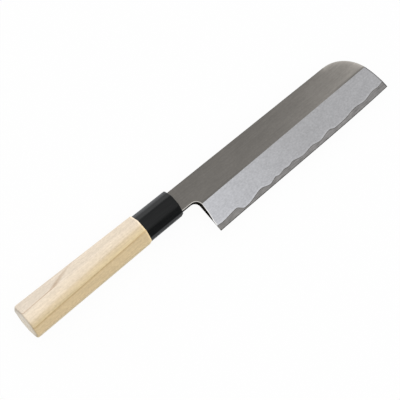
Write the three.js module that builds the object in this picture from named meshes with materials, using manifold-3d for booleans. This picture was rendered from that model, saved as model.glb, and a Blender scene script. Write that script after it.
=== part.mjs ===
import * as THREE from "three";
import { mergeVertices } from "three/addons/utils/BufferGeometryUtils.js";
import Module from "manifold-3d";

// Sizes are in millimetres. While a piece is made, x runs from the butt to the tip and is 0 at the
// front face of the ferrule, y points from the cutting edge to the spine, and z out of the bevelled face.

// Blade outline, measured from the ferrule's front face and from the handle's axis
const EDGE_LENGTH = 181;
const NECK_LENGTH = 14.4;
const SPINE_RISE = 8.6;
const NECK_DROP = 9.1;
const HEEL_DROP = 37.2;
const TIP_DROP = 34.1;
const EDGE_BELLY = 0.7;
const EDGE_BELLY_LEAN = 2;
const CHOIL_RADIUS = 5;
const CHOIL_LEAN = -0.25;
const SHOULDER_ROUND = 1.5;
const NOSE_TOP_RADIUS = 29;
const NOSE_FRONT_RADIUS = 69;
const NOSE_END_ANGLE = THREE.MathUtils.degToRad(89);

// Blade section: a flat face, one wide bevel and a narrow cutting bevel
const HEEL_THICKNESS = 4;
const TIP_THICKNESS = 3;
const HEEL_BEVEL_WIDTH = 23.5;
const TIP_BEVEL_WIDTH = 22.8;
const CUTTING_BEVEL_WIDTH = 0.5;
const CUTTING_BEVEL_HEIGHT = 0.14;
const EDGE_LAND = 0.05;

// Hollow back, ground on a large wheel, with a flat rim left all round
const HOLLOW_WHEEL_RADIUS = 590;
const HOLLOW_SPINE_RIM = 2.2;
const HOLLOW_EDGE_RIM = 1.6;
const HOLLOW_HEEL_RIM = 2;
const HOLLOW_NOSE_RIM = 2.4;
const HOLLOW_ROUND_END = 16;
const HOLLOW_RUN_OUT = 1;
const HOLLOW_LEAST_HALF = 5;

// Hard steel layer: its weld line shows on the bevel as a band along the edge, wavy from the hammer. The
// crests and dips of the band are listed by their distance from the heel.
const STEEL_START = 6;
const STEEL_THICKNESS = 0.9;
const WELD_TURNS = [
  { at: 0, width: 4.6 },
  { at: 5, width: 4.1 },
  { at: 20, width: 5.2 },
  { at: 26, width: 1.5 },
  { at: 29, width: 1.6 },
  { at: 45, width: 4.4 },
  { at: 53, width: 2.4 },
  { at: 60, width: 4.1 },
  { at: 63, width: 3.3 },
  { at: 69, width: 4.3 },
  { at: 74, width: 3.7 },
  { at: 78, width: 4.7 },
  { at: 88, width: 3 },
  { at: 99, width: 4.2 },
  { at: 107, width: 2.9 },
  { at: 118, width: 4.8 },
  { at: 124, width: 3.1 },
  { at: 133, width: 3.2 },
  { at: 147, width: 4.8 },
  { at: 157, width: 3.7 },
  { at: 169, width: 5.3 },
  { at: 174, width: 4.8 },
  { at: 181, width: 5.5 },
];
const WELD_WAVE_REACH = 7;
const WELD_FLAT_START = 14;
const WELD_GAP = 0.05;

// Tang, set in from the neck's faces
const TANG_LENGTH = 92;
const TANG_ROOT_HEIGHT = 10.5;
const TANG_END_HEIGHT = 5;
const TANG_FACE_STEP = 0.3;
const TANG_END_THICKNESS = 2.2;

// Grip: an eight-sided bar that narrows towards the blade
const GRIP_LENGTH = 105.5;
const BUTT_SECTION = { height: 26.1, width: 23, sideFlat: 10.8, topFlat: 9.5 };
const FRONT_SECTION = { height: 23.4, width: 20.7, sideFlat: 9.7, topFlat: 8.6 };
const BUTT_DOME = 0.9;
const BUTT_ROUND = 2;
const FRONT_ROUND = 0.6;
const RIDGE_ROUND = 1.6;

// Ferrule, a step smaller than the grip all round
const FERRULE_LENGTH = 31.1;
const FERRULE_STEP = 0.65;
const FERRULE_TAPER = 0.2;
const FERRULE_ROUND = 0.9;
const FERRULE_WALL = 1.8;
const SOCKET_DEPTH = 22;

// Fits
const FIT_GAP = 0.3;
const SEAM_GAP = 0.1;
const SEAL_WALL = 1.5;
const SEAL_GAP = 0.05;
const SEAL_RECESS = 0.4;

// Facets
const BLADE_STEPS = 24;
const WELD_STEPS = 132;
const HOLLOW_STEPS = 30;
const HOLLOW_ARC_STEPS = 12;
const OUTLINE_ARC_STEPS = 16;
const RIDGE_STEPS = 2;
const RIM_STEPS = 4;
const DOME_STEPS = 5;
const DOME_CAP_SHARE = 0.1;
const CIRCLE_STEPS = 48;
const CUT_MARGIN = 3;

const wasm = await Module();
wasm.setup();

const { lerp, smoothstep } = THREE.MathUtils;

const choilX = NECK_LENGTH;
const heelX = choilX + CHOIL_LEAN;
const tipX = heelX + EDGE_LENGTH;
const shoulderX = SEAM_GAP;
const tangRootThickness = HEEL_THICKNESS - 2 * TANG_FACE_STEP;

function toSolid(geometry) {
  const bare = geometry.clone();
  bare.deleteAttribute("normal");
  bare.deleteAttribute("uv");
  const merged = mergeVertices(bare);
  const mesh = new wasm.Mesh({
    numProp: 3,
    vertProperties: new Float32Array(merged.attributes.position.array),
    triVerts: new Uint32Array(merged.index.array),
  });
  return new wasm.Manifold(mesh);
}

function toGeometry(solid) {
  const mesh = solid.getMesh();
  const geometry = new THREE.BufferGeometry();
  geometry.setAttribute("position", new THREE.BufferAttribute(mesh.vertProperties, 3));
  geometry.setIndex(new THREE.BufferAttribute(mesh.triVerts, 1));
  return geometry;
}

// A solid through matching loops of points, listed from low x to high x. Each loop runs from +y towards +z,
// and all of it can be seen from its first point.
function loft(loops) {
  const count = loops[0].length;
  const index = [];
  for (let ring = 0; ring + 1 < loops.length; ring++) {
    for (let point = 0; point < count; point++) {
      const here = ring * count + point;
      const next = ring * count + ((point + 1) % count);
      index.push(here, next, next + count);
      index.push(here, next + count, here + count);
    }
  }
  const last = (loops.length - 1) * count;
  for (let point = 1; point + 1 < count; point++) {
    index.push(0, point + 1, point);
    index.push(last, last + point, last + point + 1);
  }
  const geometry = new THREE.BufferGeometry().setFromPoints(loops.flat());
  geometry.setIndex(index);
  return toSolid(geometry);
}

function evenSteps(start, end, count) {
  return Array.from({ length: count + 1 }, (_, step) => lerp(start, end, step / count));
}

function cylinderAlongX(radius, start, end) {
  const geometry = new THREE.CylinderGeometry(radius, radius, end - start, CIRCLE_STEPS);
  geometry.rotateZ(Math.PI / 2);
  geometry.translate((start + end) / 2, 0, 0);
  return toSolid(geometry);
}

// Blade curves

function alongEdge(x) {
  return (x - heelX) / EDGE_LENGTH;
}

function edgeChordY(x) {
  return lerp(-HEEL_DROP, -TIP_DROP, alongEdge(x));
}

// The edge bellies below its chord, more towards the tip than towards the heel.
function edgeY(x) {
  const share = Math.max(0, alongEdge(x)) ** EDGE_BELLY_LEAN;
  return edgeChordY(x) - 4 * EDGE_BELLY * share * (1 - share);
}

function thicknessAt(x) {
  return lerp(HEEL_THICKNESS, TIP_THICKNESS, Math.max(0, alongEdge(x)));
}

function ridgeY(x) {
  return edgeChordY(x) + lerp(HEEL_BEVEL_WIDTH, TIP_BEVEL_WIDTH, alongEdge(x));
}

// The nose is two arcs that flow into each other and into the spine, and end at the tip.
function noseArcs() {
  const drop = SPINE_RISE + TIP_DROP;
  const radiusChange = NOSE_TOP_RADIUS - NOSE_FRONT_RADIUS;
  const joinCosine = (NOSE_TOP_RADIUS - NOSE_FRONT_RADIUS * Math.cos(NOSE_END_ANGLE) - drop) / radiusChange;
  const joinAngle = Math.acos(joinCosine);
  const topReach = NOSE_TOP_RADIUS * Math.sin(joinAngle);
  const frontReach = NOSE_FRONT_RADIUS * (Math.sin(NOSE_END_ANGLE) - Math.sin(joinAngle));
  const startX = tipX - topReach - frontReach;
  const topCentre = new THREE.Vector2(startX, SPINE_RISE - NOSE_TOP_RADIUS);
  const towardsJoin = new THREE.Vector2(Math.sin(joinAngle), joinCosine);
  const frontCentre = topCentre.clone().addScaledVector(towardsJoin, radiusChange);
  return { startX, joinX: startX + topReach, joinAngle, topCentre, frontCentre };
}

const nose = noseArcs();

function outlineTopY(x) {
  if (x <= nose.startX) {
    return SPINE_RISE;
  }
  const onTopArc = x <= nose.joinX;
  const centre = onTopArc ? nose.topCentre : nose.frontCentre;
  const radius = onTopArc ? NOSE_TOP_RADIUS : NOSE_FRONT_RADIUS;
  return centre.y + Math.sqrt(Math.max(0, radius ** 2 - (x - centre.x) ** 2));
}

// Height of the bevelled face at a distance from the cutting edge
function bevelHeight(x, fromEdge) {
  const bevelWidth = ridgeY(x) - edgeY(x);
  const share = (fromEdge - CUTTING_BEVEL_WIDTH) / (bevelWidth - CUTTING_BEVEL_WIDTH);
  return lerp(CUTTING_BEVEL_HEIGHT, thicknessAt(x), share);
}

// Blade solids

function bladeSection(x) {
  const top = SPINE_RISE + CUT_MARGIN;
  const edge = edgeY(x);
  return [
    new THREE.Vector3(x, top, 0),
    new THREE.Vector3(x, top, thicknessAt(x)),
    new THREE.Vector3(x, ridgeY(x), thicknessAt(x)),
    new THREE.Vector3(x, edge + CUTTING_BEVEL_WIDTH, CUTTING_BEVEL_HEIGHT),
    new THREE.Vector3(x, edge, EDGE_LAND),
    new THREE.Vector3(x, edge, 0),
  ];
}

function groundBar() {
  const stations = [shoulderX - CUT_MARGIN, ...evenSteps(heelX, tipX + CUT_MARGIN, BLADE_STEPS)];
  return loft(stations.map(bladeSection));
}

// Everything inside the spine, nose, choil, neck and shoulder. It is open past the cutting edge, which the
// ground bar already has.
function bladeOutline() {
  const quarter = Math.PI / 2;
  const below = -(HEEL_DROP + CUT_MARGIN);
  const choilTop = -(NECK_DROP + CHOIL_RADIUS);
  const choilSlope = CHOIL_LEAN / (choilTop + HEEL_DROP);
  const noseSlope = 1 / Math.tan(NOSE_END_ANGLE);
  const { topCentre, frontCentre } = nose;
  const joinTurn = quarter - nose.joinAngle;
  const endTurn = quarter - NOSE_END_ANGLE;
  const roundX = shoulderX + SHOULDER_ROUND;
  const roundY = SHOULDER_ROUND - NECK_DROP;
  const shape = new THREE.Shape();
  shape.moveTo(shoulderX, SPINE_RISE);
  shape.lineTo(nose.startX, SPINE_RISE);
  shape.absarc(topCentre.x, topCentre.y, NOSE_TOP_RADIUS, quarter, joinTurn, true);
  shape.absarc(frontCentre.x, frontCentre.y, NOSE_FRONT_RADIUS, joinTurn, endTurn, true);
  shape.lineTo(tipX + noseSlope * (-TIP_DROP - below), below);
  shape.lineTo(choilX + choilSlope * (choilTop - below), below);
  shape.absarc(choilX - CHOIL_RADIUS, choilTop, CHOIL_RADIUS, 0, quarter, false);
  shape.absarc(roundX, roundY, SHOULDER_ROUND, -quarter, -2 * quarter, true);
  shape.closePath();
  const geometry = new THREE.ExtrudeGeometry(shape, {
    depth: HEEL_THICKNESS + 2 * CUT_MARGIN,
    bevelEnabled: false,
    curveSegments: OUTLINE_ARC_STEPS,
  });
  geometry.translate(0, 0, -CUT_MARGIN);
  return toSolid(geometry);
}

// Width of the hard steel band, with a smooth swing from each crest to the next dip
function weldBandWidth(x) {
  const fromHeel = x - heelX;
  const lastTurn = WELD_TURNS[WELD_TURNS.length - 1];
  const place = WELD_TURNS.findIndex((turn) => turn.at > fromHeel);
  const next = place < 0 ? lastTurn : WELD_TURNS[place];
  const before = place < 0 ? lastTurn : WELD_TURNS[Math.max(0, place - 1)];
  return lerp(before.width, next.width, smoothstep(fromHeel, before.at, next.at));
}

// The room that the hard steel takes up at the back of the blade. Its upper face is the weld: level under
// the flat, and waved where the bevel cuts through it.
function steelRoom(rearX, lift) {
  const section = (x) => {
    const edge = edgeY(x);
    const wave = bevelHeight(x, weldBandWidth(x)) + lift;
    const level = STEEL_THICKNESS + lift;
    return [
      new THREE.Vector3(x, SPINE_RISE + CUT_MARGIN, -CUT_MARGIN),
      new THREE.Vector3(x, SPINE_RISE + CUT_MARGIN, level),
      new THREE.Vector3(x, edge + WELD_FLAT_START, level),
      new THREE.Vector3(x, edge + WELD_WAVE_REACH, wave),
      new THREE.Vector3(x, edge - CUT_MARGIN, wave),
      new THREE.Vector3(x, edge - CUT_MARGIN, -CUT_MARGIN),
    ];
  };
  return loft([rearX, ...evenSteps(heelX, tipX + CUT_MARGIN, WELD_STEPS)].map(section));
}

// What the grinding wheel takes out of the back: at each station an arc of the wheel, as wide as the rims
// let it be, so the hollow runs out at the heel and at the nose.
function backHollow() {
  const startX = heelX + HOLLOW_HEEL_RIM;
  const endX = tipX - HOLLOW_NOSE_RIM;
  const widthAt = (x) => {
    const highRim = outlineTopY(x + HOLLOW_NOSE_RIM) - HOLLOW_SPINE_RIM;
    const lowRim = edgeY(x) + HOLLOW_EDGE_RIM;
    const toFullWidth = Math.max(0, 1 - (x - startX) / HOLLOW_ROUND_END);
    const half = ((highRim - lowRim) / 2) * Math.sqrt(1 - toFullWidth ** 2);
    return { x, half, middle: (highRim + lowRim) / 2 };
  };
  const section = ({ x, half, middle }) => {
    const reach = half + HOLLOW_RUN_OUT;
    const arc = evenSteps(reach, -reach, HOLLOW_ARC_STEPS).map((offset) => {
      const depth = (half ** 2 - offset ** 2) / (2 * HOLLOW_WHEEL_RADIUS);
      return new THREE.Vector3(x, middle + offset, depth);
    });
    const lowCorner = new THREE.Vector3(x, middle - reach, -CUT_MARGIN);
    const highCorner = new THREE.Vector3(x, middle + reach, -CUT_MARGIN);
    return [highCorner, ...arc, lowCorner];
  };
  const turns = evenSteps(0, Math.PI, HOLLOW_STEPS);
  const stations = turns.map((turn) => lerp(startX, endX, (1 - Math.cos(turn)) / 2));
  const wideEnough = stations.map(widthAt).filter(({ half }) => half > HOLLOW_LEAST_HALF);
  return loft(wideEnough.map(section));
}

// The tang, or with extra on every side the room for it
function tang(extra, frontX, centreZ) {
  const section = (x) => {
    const share = -x / TANG_LENGTH;
    const halfHeight = lerp(TANG_ROOT_HEIGHT, TANG_END_HEIGHT, share) / 2 + extra;
    const halfThickness = lerp(tangRootThickness, TANG_END_THICKNESS, share) / 2 + extra;
    return [
      new THREE.Vector3(x, halfHeight, centreZ - halfThickness),
      new THREE.Vector3(x, halfHeight, centreZ + halfThickness),
      new THREE.Vector3(x, -halfHeight, centreZ + halfThickness),
      new THREE.Vector3(x, -halfHeight, centreZ - halfThickness),
    ];
  };
  return loft([-TANG_LENGTH - extra, frontX].map(section));
}

// Handle solids, made round an axis at y = 0, z = 0

function roundedLoop(x, corners) {
  return corners.flatMap((corner, place) => {
    const before = corners[(place + corners.length - 1) % corners.length];
    const after = corners[(place + 1) % corners.length];
    const back = before.clone().sub(corner).normalize();
    const on = after.clone().sub(corner).normalize();
    const reach = RIDGE_ROUND * Math.tan((Math.PI - back.angleTo(on)) / 2);
    const start = corner.clone().addScaledVector(back, reach);
    const end = corner.clone().addScaledVector(on, reach);
    const round = new THREE.QuadraticBezierCurve(start, corner, end);
    return round.getPoints(RIDGE_STEPS).map((point) => new THREE.Vector3(x, point.x, point.y));
  });
}

function octagon(x, section) {
  const quarter = [
    new THREE.Vector2(section.height / 2, section.topFlat / 2),
    new THREE.Vector2(section.sideFlat / 2, section.width / 2),
  ];
  const lowerQuarter = quarter.toReversed().map(({ x: y, y: z }) => new THREE.Vector2(-y, z));
  const bevelSide = [...quarter, ...lowerQuarter];
  const backSide = bevelSide.map((corner) => corner.clone().negate());
  return roundedLoop(x, [...bevelSide, ...backSide]);
}

// The same section with all eight sides moved in by a step
function shrunk(section, step) {
  const fallY = (section.height - section.sideFlat) / 2;
  const fallZ = (section.width - section.topFlat) / 2;
  const cornerGain = step * (fallY + fallZ - Math.hypot(fallY, fallZ));
  return {
    height: section.height - 2 * step,
    width: section.width - 2 * step,
    sideFlat: section.sideFlat - 2 * (step - cornerGain / fallZ),
    topFlat: section.topFlat - 2 * (step - cornerGain / fallY),
  };
}

// Loops of a rounded rim at the front end of an eight-sided bar
function frontRim(frontX, section, radius) {
  return evenSteps(0, Math.PI / 2, RIM_STEPS).map((turn) => {
    const x = frontX - radius * (1 - Math.sin(turn));
    return octagon(x, shrunk(section, radius * (1 - Math.cos(turn))));
  });
}

const gripFrontX = -(FERRULE_LENGTH + SEAM_GAP);
const socketEndX = SOCKET_DEPTH - FERRULE_LENGTH;
const ferruleRear = shrunk(FRONT_SECTION, FERRULE_STEP);
const ferruleFront = shrunk(ferruleRear, FERRULE_TAPER);
const socketRadius = ferruleFront.width / 2 - FERRULE_WALL;

function woodGrip() {
  const rimX = gripFrontX - GRIP_LENGTH + BUTT_DOME;
  const dome = evenSteps(DOME_CAP_SHARE, 1, DOME_STEPS).map((share) => {
    const x = rimX - BUTT_DOME * (1 - share ** 2);
    const rim = octagon(x, shrunk(BUTT_SECTION, BUTT_ROUND));
    return rim.map((point) => new THREE.Vector3(x, point.y * share, point.z * share));
  });
  const buttRim = evenSteps(0, Math.PI / 2, RIM_STEPS).slice(1).map((turn) => {
    const x = rimX + BUTT_ROUND * (1 - Math.cos(turn));
    return octagon(x, shrunk(BUTT_SECTION, BUTT_ROUND * (1 - Math.sin(turn))));
  });
  const bar = loft([...dome, ...buttRim, ...frontRim(gripFrontX, FRONT_SECTION, FRONT_ROUND)]);
  const tenon = cylinderAlongX(socketRadius - FIT_GAP, gripFrontX - CUT_MARGIN, socketEndX - FIT_GAP);
  return bar.add(tenon).subtract(tang(FIT_GAP, 0, 0));
}

const slotSection = {
  height: TANG_ROOT_HEIGHT + 2 * SEAL_WALL,
  width: tangRootThickness + 2 * SEAL_WALL,
  sideFlat: TANG_ROOT_HEIGHT,
  topFlat: tangRootThickness,
};

function blackFerrule() {
  const rear = octagon(-FERRULE_LENGTH, ferruleRear);
  const bar = loft([rear, ...frontRim(0, ferruleFront, FERRULE_ROUND)]);
  const socket = cylinderAlongX(socketRadius, -FERRULE_LENGTH - CUT_MARGIN, socketEndX);
  const slot = loft([socketEndX - CUT_MARGIN, CUT_MARGIN].map((x) => octagon(x, slotSection)));
  return bar.subtract(socket).subtract(slot);
}

function tangSeal() {
  const loops = [socketEndX, -SEAL_RECESS].map((x) => octagon(x, shrunk(slotSection, SEAL_GAP)));
  return loft(loops).subtract(tang(SEAL_GAP, CUT_MARGIN, 0));
}

// Assembly

function piece(name, solid, color, roughness, metalness) {
  const material = new THREE.MeshStandardMaterial({ color, roughness, metalness });
  const mesh = new THREE.Mesh(toGeometry(solid), material);
  mesh.name = name;
  return mesh;
}

const blade = new THREE.Group();
const forged = groundBar().intersect(bladeOutline());
const fixedTang = tang(0, shoulderX + CUT_MARGIN, HEEL_THICKNESS / 2);
const softIron = forged.subtract(steelRoom(STEEL_START - WELD_GAP, WELD_GAP)).add(fixedTang);
const hardSteel = forged.intersect(steelRoom(STEEL_START, 0)).subtract(backHollow());
blade.add(piece("soft_iron_body", softIron, 0x8f8c8b, 0.42, 1));
blade.add(piece("hard_steel_edge", hardSteel, 0x85837f, 0.35, 1));

const handle = new THREE.Group();
handle.position.z = HEEL_THICKNESS / 2;
handle.add(piece("wood_grip", woodGrip(), 0xe3d0b1, 0.7, 0));
handle.add(piece("black_ferrule", blackFerrule(), 0x222627, 0.35, 0));
handle.add(piece("tang_seal", tangSeal(), 0xc49a52, 0.55, 0));

// The knife lies on its back with the middle of its outline over the origin.
const knife = new THREE.Group();
knife.name = "usuba_knife";
knife.add(blade, handle);
const extent = new THREE.Box3().setFromObject(knife);
const middle = extent.getCenter(new THREE.Vector3());
knife.position.set(-middle.x, -middle.y, -extent.min.z);

export default knife;
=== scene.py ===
"""The usuba knife, dressed: a laminated single-bevel blade in an eight-sided wooden handle.

Sizes are in millimetres along the knife: x runs from the butt to the tip and is 0 at the front face of the
ferrule, y runs from the cutting edge to the spine and is 0 on the handle's axis, and z runs out of the
bevelled face and is 0 on the flat back of the blade.
"""

import logging
import math
from contextlib import contextmanager
from dataclasses import dataclass, field
from enum import Enum, IntEnum
from typing import Callable, ClassVar, Iterable, Iterator, Optional, Sequence, Union

import bmesh
import bpy
import numpy as np
from mathutils import Matrix, Vector
from mathutils.geometry import delaunay_2d_cdt


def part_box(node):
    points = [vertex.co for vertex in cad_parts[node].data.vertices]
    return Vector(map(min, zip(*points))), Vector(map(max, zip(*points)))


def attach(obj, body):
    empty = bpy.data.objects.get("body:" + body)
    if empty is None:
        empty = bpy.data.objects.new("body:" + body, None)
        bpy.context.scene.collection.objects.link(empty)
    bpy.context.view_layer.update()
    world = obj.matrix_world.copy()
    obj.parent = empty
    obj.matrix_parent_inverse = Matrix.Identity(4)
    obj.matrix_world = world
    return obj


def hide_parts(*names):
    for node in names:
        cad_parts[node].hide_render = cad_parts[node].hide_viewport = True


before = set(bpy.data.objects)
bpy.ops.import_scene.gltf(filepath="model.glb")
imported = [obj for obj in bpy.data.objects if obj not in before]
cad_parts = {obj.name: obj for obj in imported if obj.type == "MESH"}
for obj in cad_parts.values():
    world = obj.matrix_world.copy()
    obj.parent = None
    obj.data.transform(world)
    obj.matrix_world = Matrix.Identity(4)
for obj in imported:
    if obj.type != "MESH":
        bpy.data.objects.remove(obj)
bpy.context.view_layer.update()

log = logging.getLogger("usuba")

MM = 0.001
BODY = "root"
WHITE = (1.0, 1.0, 1.0, 1.0)
QUARTER_TURN = math.pi / 2
LEAST_SQUARE = 1e-12

Colour = tuple[int, int, int]
Span = tuple[float, float]
Socket = bpy.types.NodeSocket
Value = Union[float, int, Vector, tuple, Socket]
Inputs = dict[Union[str, int], Value]
RuleInput = Union[float, bpy.types.Material]
Array = np.ndarray


def linear(colour: Colour) -> tuple[float, float, float, float]:
    """Turns a colour written in display values, 0 to 255, into the shader's linear values.

    Args:
        colour: Red, green and blue as a picture shows them.

    Returns:
        Red, green, blue and a full alpha.
    """
    parts = [part / 255 for part in colour]
    curve = [p / 12.92 if p <= 0.04045 else ((p + 0.055) / 1.055) ** 2.4 for p in parts]
    return curve[0], curve[1], curve[2], 1.0


def put_in_scene(name: str, data: bpy.types.ID) -> bpy.types.Object:
    """Returns a new object that is linked to the scene.

    Args:
        name: The object's name.
        data: Its mesh, camera or lamp.

    Returns:
        The object.
    """
    thing = bpy.data.objects.new(name, data)
    bpy.context.scene.collection.objects.link(thing)
    return thing


@contextmanager
def rework(mesh: bpy.types.Mesh) -> Iterator[bmesh.types.BMesh]:
    """Opens a mesh for changes and writes them back at the end.

    Args:
        mesh: The mesh to change.

    Yields:
        The mesh in the form that can be changed.
    """
    work = bmesh.new()
    work.from_mesh(mesh)
    yield work
    work.to_mesh(mesh)
    work.free()


def hand_over(piece: bpy.types.Object, node: str) -> None:
    """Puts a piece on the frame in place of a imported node.

    Args:
        piece: The finished piece.
        node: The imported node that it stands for.
    """
    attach(piece, BODY)
    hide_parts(node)
    log.info("%s: %d corners, %d faces", piece.name, len(piece.data.vertices), len(piece.data.polygons))


@dataclass(frozen=True)
class Bench:
    """Where the knife's own axes lie in the shared frame.

    Attributes:
        origin: The knife's zero point in the shared frame, in metres.
        axis_height: Height of the handle's axis over the blade's back.
    """

    origin: Vector
    axis_height: float

    @classmethod
    def under_ferrule(cls, neck_thickness: float) -> "Bench":
        """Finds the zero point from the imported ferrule.

        Args:
            neck_thickness: Thickness of the neck, whose middle is on the handle's axis.

        Returns:
            The bench that every piece is placed on.
        """
        low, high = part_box("black_ferrule")
        middle = (low + high) / 2
        axis_height = neck_thickness / 2
        return cls(Vector((high.x, middle.y, middle.z - axis_height * MM)), axis_height)

    def place(self, points: Array) -> Array:
        """Returns points of the knife in the shared frame, in metres."""
        return np.asarray(points, float) * MM + np.array(self.origin)


class NodeGraph:
    """Short ways to add and join the nodes of a tree."""

    def __init__(self, tree: bpy.types.NodeTree) -> None:
        """Keeps the tree that the nodes go into."""
        self.tree = tree

    def add(self, kind: str, inputs: Optional[Inputs] = None, **settings: object) -> bpy.types.Node:
        """Adds a node.

        Args:
            kind: Blender's name for the node type.
            inputs: What goes into its sockets, by their names or places.
            settings: Options of the node itself.

        Returns:
            The new node.
        """
        node = self.tree.nodes.new(kind)
        for name, setting in settings.items():
            setattr(node, name, setting)
        for name, value in (inputs or {}).items():
            self.feed(node.inputs[name], value)
        return node

    def feed(self, socket: Socket, value: Value) -> None:
        """Joins a socket to another, or writes a plain value into it.

        Args:
            socket: The input that gets the value.
            value: An output socket, a number or a vector.
        """
        if isinstance(value, bpy.types.NodeSocket):
            self.tree.links.new(value, socket)
        else:
            socket.default_value = value

    def math(self, operation: str, *values: Value) -> Socket:
        """Returns the result of a Math node, with its inputs in order."""
        return self.add("ShaderNodeMath", dict(enumerate(values)), operation=operation).outputs[0]

    def times(self, first: Value, second: Value) -> Socket:
        """Returns the product of two numbers."""
        return self.math("MULTIPLY", first, second)

    def minus(self, first: Value, second: Value) -> Socket:
        """Returns the first number less the second."""
        return self.math("SUBTRACT", first, second)

    def over(self, first: Value, second: Value) -> Socket:
        """Returns the first number divided by the second."""
        return self.math("DIVIDE", first, second)

    def scaled(self, value: Value, gain: Value, base: Value) -> Socket:
        """Returns a number times a gain, plus a base."""
        return self.math("MULTIPLY_ADD", value, gain, base)

    def shade(self, share: Value, amount: Value) -> Socket:
        """Returns a factor that is 1, and more or less by an amount where a share is full."""
        return self.scaled(share, amount, 1.0)

    def total(self, *terms: Value) -> Socket:
        """Adds up numbers.

        Args:
            terms: Two or more numbers.

        Returns:
            Their sum.
        """
        result = terms[0]
        for term in terms[1:]:
            result = self.math("ADD", result, term)
        return result

    def progress(self, value: Value, start: Value, end: Value) -> Socket:
        """Returns how far a value is from start to end, held between 0 and 1."""
        inputs = {"Value": value, "From Min": start, "From Max": end}
        return self.add("ShaderNodeMapRange", inputs, clamp=True).outputs["Result"]

    def combine(self, x: Value, y: Value, z: Value) -> Socket:
        """Returns a vector made of three numbers."""
        return self.add("ShaderNodeCombineXYZ", {0: x, 1: y, 2: z}).outputs[0]

    def split(self, vector: Socket) -> tuple[Socket, Socket, Socket]:
        """Returns the three numbers of a vector."""
        return tuple(self.add("ShaderNodeSeparateXYZ", {0: vector}).outputs)


class Measure(Enum):
    """Distances that the blade's meshes carry for their finishes."""

    FROM_WELD = "from_weld"
    FROM_NOSE = "from_nose"


@dataclass(frozen=True)
class Pattern:
    """A soft random pattern, stretched along the knife.

    Attributes:
        along: Grains a millimetre along the knife.
        across: Grains a millimetre the two other ways.
        detail: Octaves of finer grain.
        shade: How much it swings the brightness.
    """

    along: float
    across: float
    detail: float
    shade: float = 0.0


@dataclass(frozen=True)
class Zone:
    """A change that sets in over a span.

    Attributes:
        start: Where it begins.
        end: Where it is full.
        amount: How large it is where it is full.
    """

    start: float
    end: float
    amount: float


class FinishGraph(NodeGraph):
    """The node tree of one finish, with the patterns that the finishes share."""

    def __init__(self, name: str, bench: Bench) -> None:
        """Starts a material with one shader, and finds the place on the knife in millimetres.

        Args:
            name: The material's name.
            bench: Where the knife's axes lie.
        """
        self.material = bpy.data.materials.new(name)
        self.material.use_nodes = True
        super().__init__(self.material.node_tree)
        self.tree.nodes.clear()
        self.shader = self.add("ShaderNodeBsdfPrincipled")
        self.add("ShaderNodeOutputMaterial", {"Surface": self.shader.outputs[0]})
        on_object = self.add("ShaderNodeTexCoord").outputs["Object"]
        self.place = self.mapped(on_object, Scale=Vector((1, 1, 1)) / MM, Location=-bench.origin / MM)

    def set(self, **values: Value) -> None:
        """Sets sockets of the shader, whose names have _ for each space."""
        for name, value in values.items():
            self.feed(self.shader.inputs[name.replace("_", " ")], value)

    def mapped(self, vector: Socket, **moves: Value) -> Socket:
        """Returns a vector that is scaled, turned or moved."""
        return self.add("ShaderNodeMapping", {"Vector": vector, **moves}, vector_type="POINT").outputs[0]

    def noise(self, pattern: Pattern, place: Optional[Socket] = None) -> Socket:
        """Adds a soft random pattern.

        Args:
            pattern: Its grain.
            place: The place in millimetres, where it isn't the plain place on the knife.

        Returns:
            A value about 0.5, mostly between 0.3 and 0.7.
        """
        scale = (pattern.along, pattern.across, pattern.across)
        grains = self.mapped(place or self.place, Scale=scale)
        inputs = {"Vector": grains, "Scale": 1.0, "Detail": pattern.detail}
        return self.add("ShaderNodeTexNoise", inputs, noise_dimensions="3D").outputs["Fac"]

    def swing(self, noise: Socket, amount: float) -> Socket:
        """Turns a pattern's value about 0.5 into a factor about 1 that swings by an amount."""
        return self.scaled(noise, 2 * amount, 1 - amount)

    def mottle(self, pattern: Pattern) -> Socket:
        """Returns a factor about 1 that swings with a pattern."""
        return self.swing(self.noise(pattern), pattern.shade)

    def zone(self, value: Value, zone: Zone, base: Value = 1.0) -> Socket:
        """Returns a base and a zone's amount besides, as far as a value is into the zone."""
        return self.scaled(self.progress(value, zone.start, zone.end), zone.amount, base)

    def ramp(self, position: Socket, stops: Sequence[tuple[float, Colour]]) -> Socket:
        """Adds a colour ramp.

        Args:
            position: Where on the ramp, between 0 and 1.
            stops: Places and colours, in rising order.

        Returns:
            The colour there.
        """
        node = self.add("ShaderNodeValToRGB", {0: position})
        elements = node.color_ramp.elements
        for place, _ in stops[2:]:
            elements.new(place)
        for element, (place, colour) in zip(elements, stops):
            element.position = place
            element.color = linear(colour)
        return node.outputs[0]

    def mix(self, kind: str, share: Value, first: Value, second: Value) -> Socket:
        """Returns two colours, mixed in one of Blender's ways by a share from 0 to 1."""
        inputs = {"Factor": share, 6: first, 7: second}
        return self.add("ShaderNodeMix", inputs, data_type="RGBA", blend_type=kind).outputs[2]

    def blend(self, share: Value, first: Value, second: Value) -> Socket:
        """Returns a colour between two, by a share from 0 to 1."""
        return self.mix("MIX", share, first, second)

    def tint(self, colour: Value, *factors: Socket) -> Socket:
        """Multiplies a colour by one or more numbers.

        Args:
            colour: A colour socket or a linear colour.
            factors: Numbers about 1.

        Returns:
            The tinted colour.
        """
        result = colour
        for factor in factors:
            result = self.mix("MULTIPLY", 1.0, result, self.combine(factor, factor, factor))
        return result

    def relief(self, height: Socket, depth: float) -> None:
        """Raises the surface by a pattern, which is so many millimetres deep."""
        node = self.add("ShaderNodeBump", {"Strength": 1.0, "Distance": depth * MM, "Height": height})
        self.set(Normal=node.outputs[0])

    def measure(self, measure: Measure) -> Socket:
        """Returns a distance that the mesh carries, in millimetres."""
        node = self.add("ShaderNodeAttribute", attribute_name=measure.value, attribute_type="GEOMETRY")
        return node.outputs["Fac"]


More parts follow.
